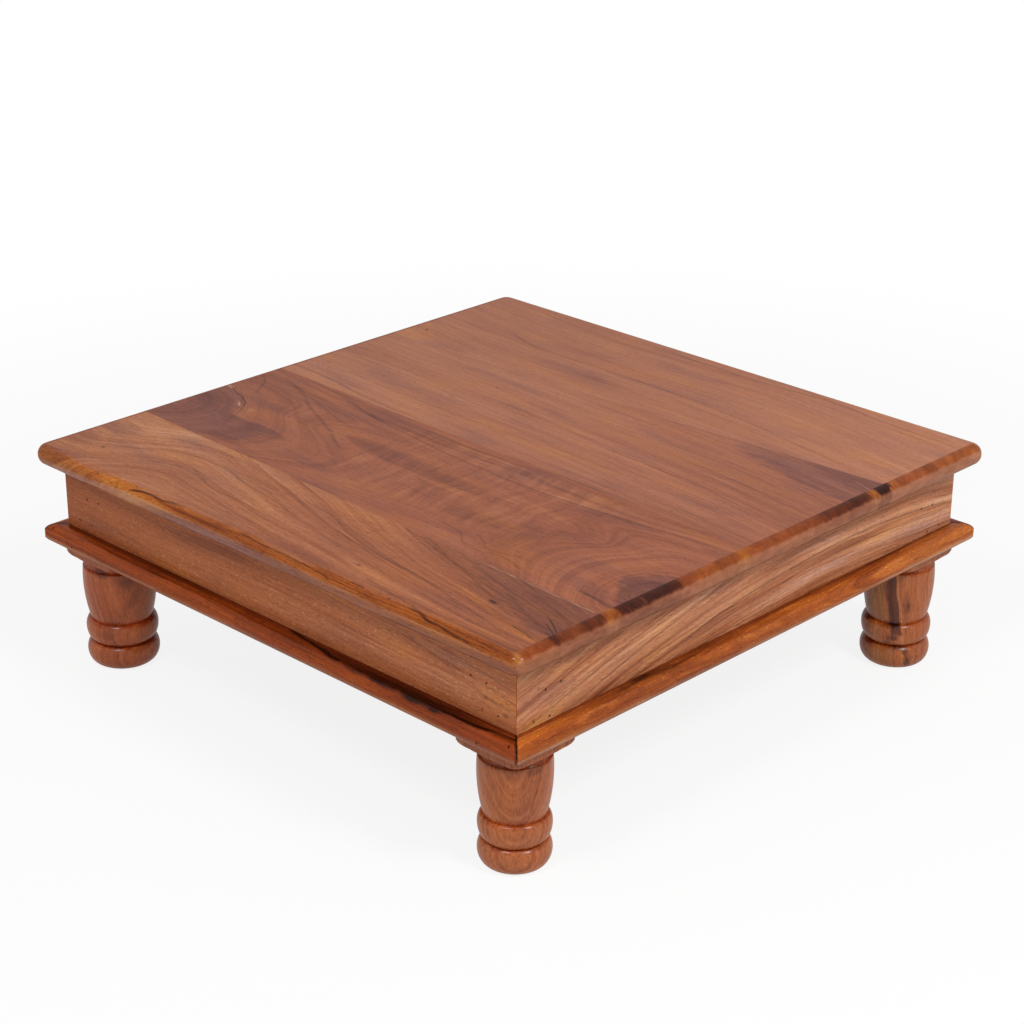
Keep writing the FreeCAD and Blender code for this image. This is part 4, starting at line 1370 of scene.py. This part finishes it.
# %% Tones and marks of the legs
LEG_TONES = (
    (0.211, 0.053, 0.015), (0.326, 0.084, 0.024), (0.384, 0.108, 0.034),
    (0.437, 0.142, 0.051), (0.518, 0.200, 0.085),
)
LEG_RED_TONES = (
    (0.222, 0.048, 0.013), (0.348, 0.078, 0.021), (0.414, 0.100, 0.029),
    (0.475, 0.132, 0.043), (0.545, 0.186, 0.074),
)
LEG_HEARTS = {
    "front_right": (Vector((30.0, -34.0)), 0.42, LEG_TONES),
    "back_right": (Vector((-16.0, -22.0)), 0.20, LEG_TONES),
    "back_left": (Vector((24.0, 20.0)), 0.25, LEG_RED_TONES),
    "front_left": (Vector((-44.0, -8.0)), 0.10, LEG_RED_TONES),
}
LEG_MARKS = {
    "back_right": (
        area(((26, 2), (34, -0.5), (49, -2.5), (60, -5), (90, -6.5)), ((26, -8), (34, -9.5),
             (49, -11), (60, -14), (90, -17)), HEART, 0.88, (0.8, 3.0), (0.05, 0.001)),
        area(((30, -4), (40, -5), (60, -8), (90, -9)), ((30, -8), (40, -9), (60, -12), (90, -14)),
             BLACK, 0.25, (2.0, 2.0), (0.1, 0.001)),
        area(((32, -10), (50, -11.5), (90, -17)), ((32, -23), (50, -22), (90, -24)), OLIVE, 0.8,
             (1, 1), (0.1, 0.001)),
        line(((27, 3), (34, 0.5), (49, -1.5), (60, -4), (90, -5.5)), 0.6, PALE, 0.25),
        spot((50, 2.5), (9, 2.4), BROWN, 0.8),
        spot((49, 3.5), (4, 1.6), HEART, 0.55),
        spot((33.5, -6), (2.0, 6), BLACK, 0.4),
        spot((22, 1), (4.0, 5.0), TAN, 0.7),
        spot((25, -6), (2.2, 3.5), HEART, 0.8),
        spot((21, -9), (1.6, 2.4), HEART, 0.7),
        spot((17.5, -2), (2.2, 6.0), BLACK, 0.5),
        spot((14.5, 3.5), (2.4, 2.0), BLACK, 0.6),
        spot((7, 5), (6.0, 2.2), HEART, 0.8),
        spot((9, -12), (6.0, 8.0), OLIVE, 0.6),
        line(((1, 8), (8, 6), (15, 2), (22, -4)), 0.8, HEART, 0.6),
    ),
    "front_left": (
        spot((74, -9), (3.0, 4.0), BLACK, 0.5),
        spot((69, 9), (5.0, 6.0), HEART, 0.6),
        spot((52, 10), (12.0, 3.0), BROWN, 0.6, 30),
        spot((28, -8), (3.0, 8.0), BROWN, 0.5),
    ),
    "front_right": (
        line(((42, 9), (55, 11.5), (66, 14), (74, 15)), 1.0, HEART, 0.5),
        spot((72, 12), (2.5, 5.0), BLACK, 0.45),
        spot((74, -8), (2.0, 9.0), HEART, 0.35),
    ),
    "back_left": (),
}
print("marks on the legs:", {corner: len(marks) for corner, marks in LEG_MARKS.items()})

# %% Finish for the legs
LEG_COAT, LEG_ROUGHNESS = 0.55, 0.25
# The grooves and the sole are deepened partly for lacquer standing in them and partly as painted
# shade, in the grooves, under the moulding and where the foot meets the floor.
LEG_GROOVES_LACQUER_AND_SHADE = ((17.8, 1.8), (34.6, 2.2), (74.8, 2.6), (88.0, 2.5))
LEG_HALF_WAY = 45.0
FOOT_SOLE_SHADE, FOOT_WEAR_AND_LIGHT = (1.2, 0.2), (38.0, 28.0)
SQUARE_CORNER = math.sqrt(0.5)
print("lacquer stands in", len(LEG_GROOVES_LACQUER_AND_SHADE), "grooves of each leg")


def rings_of_leg(middle, heart, lean):
    """Rings about an upright heart beside the leg's middle, leaning towards it with height."""

    def ring(f, up, one, other):
        off_x = one - (middle[0] + heart.x) + (up - LEG_HALF_WAY) * lean * 0.7
        off_y = other - (middle[1] + heart.y) - (up - LEG_HALF_WAY) * lean * 0.7
        return f.length(off_x, off_y)

    return ring


def around_leg(middle):
    """Marks lie at a height and a distance right of the leg's middle, as the camera sees it."""

    def sideways(f, one, other):
        return ((one - middle[0]) + (other - middle[1])) * SQUARE_CORNER

    return sideways


def leg_finish(f, up, one, other, ragged, colour):
    """Grooves, ragged specks and the sole are deepened: lacquer standing in the grooves, plus
    painted shade in them, under the moulding and where the foot meets the floor. Paler patches low
    on the leg are partly wear and partly painted light.
    """
    # Painted shade at the sole, and lacquer plus painted shade in the grooves.
    most = f.smooth(up, *FOOT_SOLE_SHADE)
    for place, reach in LEG_GROOVES_LACQUER_AND_SHADE:
        near = f.smooth(abs(up - place + ragged * reach * 2.5), reach * 1.3, reach * 0.2)
        most = f.math("MAXIMUM", most, near)
    specks = f.smooth(f.noise(up / 0.9, one / 1.1, other / 1.1, 1.0), -0.12, 0.10, 0.35, 1.0)
    # Paler patches low on the leg: partly wear, partly painted light on the foot and bead.
    patches = f.noise(up / 3.5, one / 5.0, other / 5.0, 2.0)
    wear_and_light = f.smooth(patches, 0.0, 0.25) * f.smooth(up, *FOOT_WEAR_AND_LIGHT)
    colour = f.tint(wear_and_light * 0.55, colour, TAN)
    return f.tint(most * specks * 0.65, deepened(f, colour, most), BROWN)


# %% Turn the four legs
TENON_RADIUS = 0.008
HAND_TURNED = 0.012
LEG_SIDES = 128
LEG_ARRIS = 0.0009
LEG_SHARP = 35.0  # degrees


def leg_measures(corner):
    """Middle, stock, height, girth and tenon top of one leg, read from the model."""
    low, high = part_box(f"leg_{corner}")
    middle = ((low[0] + high[0]) / 2, (low[1] + high[1]) / 2)
    stock = high[0] - low[0]
    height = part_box("moulding_front")[0][2]
    points = [vertex.co for vertex in nodes[f"leg_{corner}"].data.vertices]
    foot = [point for point in points if point.z < height * LEG_FOOT_NECK[1]]
    radius = max(math.hypot(point.x - middle[0], point.y - middle[1]) for point in foot)
    return middle, stock, height, radius / (LEG_FOOT[0] * stock), high[2]


for number, corner in enumerate(LEG_HEARTS):
    middle, stock, height, girth, tenon_top = leg_measures(corner)
    heart, lean, tones = LEG_HEARTS[corner]
    middle_mm = (middle[0] * MM, middle[1] * MM)
    rings = rings_of_leg(middle_mm, heart, lean)
    coat = lacquered_wood(
        f"leg_{corner}", UPRIGHT, rings, tones, 107.0 + 6.0 * number, LEG_MARKS[corner],
        contrast=0.85, spacing=6.0, coat=LEG_COAT, coat_roughness=LEG_ROUGHNESS, depth=0.12,
        last=leg_finish, unroll=around_leg(middle_mm))
    profile = [(r, 0.0, z) for r, z in leg_profile(stock, height, girth, TENON_RADIUS, tenon_top)]
    settings = {
        "Sides": LEG_SIDES, "Profile points": len(profile), "Half stock": stock / 2,
        "Arris radius": LEG_ARRIS, "Unevenness": HAND_TURNED, "Seed": 3.0 * number,
        "Middle": (*middle, 0.0), "Material": coat,
    }
    name = f"turned_leg_{corner}"
    start = start_mesh(name, profile, [(k, k + 1) for k in range(len(profile) - 1)])
    leg = run_tree(lathe, name, start, settings, LEG_SHARP)
    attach(leg, "root")
    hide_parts(f"leg_{corner}")
    print(corner, "girth", round(girth, 3))

# %% [markdown]
# ## Screws and brads
#
# The screws all have one shape: a countersunk head with a slot, and a shank with a thread
# that is one helix. A thread is a rule, so Geometry Nodes make it: on a grid rolled into a
# tube, the radius rises and falls with height and with angle together. The tree builds one
# screw, then sets a copy at each point, aimed along the point's own direction. The places are
# read from the model's own fasteners.

# %% Where the fasteners are
def islands(mesh):
    """The separate solids of a mesh, as lists of points."""
    shape = merged(mesh)
    left = set(shape.verts)
    groups = []
    while left:
        todo = [left.pop()]
        group = []
        while todo:
            vert = todo.pop()
            group.append(vert.co.copy())
            for edge in vert.link_edges:
                other = edge.other_vert(vert)
                if other in left:
                    left.remove(other)
                    todo.append(other)
        groups.append(group)
    shape.free()
    return groups


def spot_of(group):
    """(end point of the head, direction, length, widest radius) of one fastener."""
    low = Vector([min(p[k] for p in group) for k in range(3)])
    high = Vector([max(p[k] for p in group) for k in range(3)])
    size, middle = high - low, (low + high) / 2
    axis = max(range(3), key=lambda k: size[k])
    others = [k for k in range(3) if k != axis]

    def width_at(end):
        near = [p - middle for p in group if abs(p[axis] - end) < size[axis] * 0.02]
        return max((math.hypot(*(p[k] for k in others)) for p in near), default=0.0)

    head_is_low = width_at(low[axis]) >= width_at(high[axis])
    start, direction = middle.copy(), Vector((0, 0, 0))
    start[axis] = low[axis] if head_is_low else high[axis]
    direction[axis] = 1.0 if head_is_low else -1.0
    return start, direction, size[axis], max(size[k] for k in others) / 2


def spots_in(node):
    return [spot_of(group) for group in islands(nodes[node].data)]


for name in ("base_screws", "leg_screws", "apron_brads"):
    spots = spots_in(name)
    print(name, len(spots), "of length", round(spots[0][2], 4), "and radius", round(spots[0][3], 5))

# %% Steel
XYZ = (0, 1, 2)
DULL_SIZE, SCRATCH_SIZE, FILLER_SIZE = (2.0, 2.0, 2.0), (0.25, 0.25, 0.25), (0.6, 0.6, 0.6)


def steel(name, colour, roughness, scratches):
    """Drawn steel: fine scratches round it, and a little dullness in patches."""
    f = Finish(name)
    place = f.places(XYZ)
    dull = clouds(f, place, DULL_SIZE, 0.0, 2.0)
    wear_and_light = tuple(v * 0.7 for v in colour)
    f.set(Base_Color=f.mix(0.5 + dull * 1.5, colour, wear_and_light), Metallic=1.0)
    f.set(Roughness=roughness + dull * 0.25)
    f.relief(clouds(f, place, SCRATCH_SIZE, 0.0), scratches)
    return f.material


def brad_filling(name, seen, filled, face):
    """Brads sit in dark holes on two sides. On the other two the holes are stopped with filler."""
    f = Finish(name)
    place = f.places(XYZ)
    cloud = clouds(f, place, FILLER_SIZE, 0.0)
    stopped = f.smooth(abs(place[0]), face - 1.0, face - 0.5)
    f.set(Base_Color=f.mix(stopped, filled, seen), Roughness=0.6 + cloud * 0.3)
    f.set(Specular_IOR_Level=0.2)
    f.relief(cloud, 0.05)
    return f.material


screw_steel = steel("zinc_screw_steel", (0.62, 0.60, 0.55), 0.34, 0.01)
brad_steel = brad_filling("brad_heads", (0.055, 0.030, 0.020), (0.330, 0.095, 0.036), APRON_FACE)
print("steel for screws and filler for brads are ready")

# %% A screw and a brad in Geometry Nodes
SCREW_SIDES = 16
BRAD_SIDES, BRAD_ROWS, DOME_ROWS = 12, 6, 3


def set_at_points(shop, piece):
    """A copy of a piece at every point of the start mesh, its Z turned to the point's aim."""
    aim = shop.node("GeometryNodeInputNamedAttribute", {"Name": "aim"}, data_type="FLOAT_VECTOR")
    turned = shop.node("FunctionNodeAlignRotationToVector", {"Vector": aim.outputs[0]}, axis="Z")
    limits = {"Min": 0.0, "Max": FULL_TURN, "Seed": 4}
    spin = shop.node("FunctionNodeRandomValue", limits, data_type="FLOAT")
    angle = [socket for socket in spin.outputs if socket.enabled][0]
    twist = shop.node("FunctionNodeAxisAngleToRotation", {"Axis": (0.0, 0.0, 1.0), "Angle": angle})
    turns = {"Rotation": turned.outputs[0], "Rotate By": twist.outputs[0]}
    both = shop.node("FunctionNodeRotateRotation", turns, rotation_space="LOCAL")
    places = shop.entry.outputs["Geometry"]
    inputs = {"Points": places, "Instance": piece, "Rotation": both.outputs[0]}
    return shop.node("GeometryNodeInstanceOnPoints", inputs).outputs[0]


def screw_tree():
    """A countersunk slotted screw whose thread is one helix."""
    shop = NodeShop("screw")
    length = shop.ask("Length", "Float", 0.04)
    radius = shop.ask("Radius", "Float", 0.00175)
    head = shop.ask("Head radius", "Float", 0.0035)
    head_depth = shop.ask("Head depth", "Float", 0.0022)
    pitch = shop.ask("Pitch", "Float", 0.0014)
    slot_width = shop.ask("Slot width", "Float", 0.0009)
    slot_depth = shop.ask("Slot depth", "Float", 0.0010)
    rows = shop.ask("Rows", "Int", 120)
    material = shop.ask("Material", "Material")
    grid, row, angle = shop.rolled_grid(SCREW_SIDES, rows)
    step = length / (rows - 1.0)
    height = row * step
    phase = shop.math("FRACT", height / pitch - angle / FULL_TURN)
    ridge = 1.0 - abs(phase * 2.0 - 1.0)
    threaded = radius * (ridge * 0.30 + 0.70)
    taper = shop.math("MINIMUM", (length - height) / (radius * 2.2), 1.0)
    cone = head - height * ((head - radius) / head_depth)
    wide = shop.math("MAXIMUM", cone, threaded * taper)
    not_first = shop.math("GREATER_THAN", row, 0.5)
    solid = shop.bent(grid, wide * not_first, angle, (height - step) * not_first)
    size = shop.join(head * 2.4, slot_width, slot_depth * 2.0)
    bar = shop.node("GeometryNodeMeshCube", {"Size": size})
    meshes = {"Mesh 1": solid, "Mesh 2": bar.outputs[0]}
    slotted = shop.node("GeometryNodeMeshBoolean", meshes, operation="DIFFERENCE")
    return shop.finish(set_at_points(shop, slotted.outputs[0]), material)


def brad_tree():
    """A headless pin with a rounded outer end."""
    shop = NodeShop("brad")
    length = shop.ask("Length", "Float", 0.018)
    radius = shop.ask("Radius", "Float", 0.0008)
    material = shop.ask("Material", "Material")
    grid, row, angle = shop.rolled_grid(BRAD_SIDES, BRAD_ROWS)
    dome = shop.math("MINIMUM", row / DOME_ROWS, 1.0) * (math.pi / 2)
    wide = radius * shop.math("SINE", dome) * shop.math("LESS_THAN", row, BRAD_ROWS - 1.5)
    rise = (1.0 - shop.math("COSINE", dome)) * radius * 0.5
    shaft = shop.math("GREATER_THAN", row, DOME_ROWS + 0.5) * (length - radius * 0.5)
    solid = shop.bent(grid, wide, angle, rise + shaft)
    return shop.finish(set_at_points(shop, solid), material)


screws, brads = screw_tree(), brad_tree()

# %% Drive the screws and brads
SCREW_PITCH_SHARE = 0.8  # of the shank's radius
ROWS_PER_TURN = 5
FASTENER_SHARP = 30.0


def aimed(name, spots):
    """Bare points that carry their own aim."""
    start = start_mesh(name, [spot[0] for spot in spots])
    aim = start.attributes.new("aim", "FLOAT_VECTOR", "POINT")
    aim.data.foreach_set("vector", [v for spot in spots for v in spot[1]])
    return start


def drive_screws(node):
    spots = spots_in(node)
    length, head = spots[0][2], spots[0][3]
    radius = head / 2
    pitch = radius * SCREW_PITCH_SHARE
    settings = {
        "Length": length, "Radius": radius, "Head radius": head, "Head depth": radius * 1.25,
        "Pitch": pitch, "Slot width": head * 0.26, "Slot depth": head * 0.29,
        "Rows": int(length / pitch * ROWS_PER_TURN), "Material": screw_steel,
    }
    piece = run_tree(screws, node + "_set", aimed(node, spots), settings, FASTENER_SHARP)
    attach(piece, "root")
    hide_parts(node)


def drive_brads(node):
    spots = spots_in(node)
    settings = {"Length": spots[0][2], "Radius": spots[0][3], "Material": brad_steel}
    piece = run_tree(brads, node + "_set", aimed(node, spots), settings, FASTENER_SHARP)
    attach(piece, "root")
    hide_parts(node)


for node in [name for name in nodes if name.endswith("screws")]:
    drive_screws(node)
for node in [name for name in nodes if name.endswith("brads")]:
    drive_brads(node)

# %% [markdown]
# ## Look through the camera
#
# The colours are written as they should appear, so the picture's tone curve is left plain.

# %% Last settings
bpy.context.scene.view_settings.view_transform = "Standard"
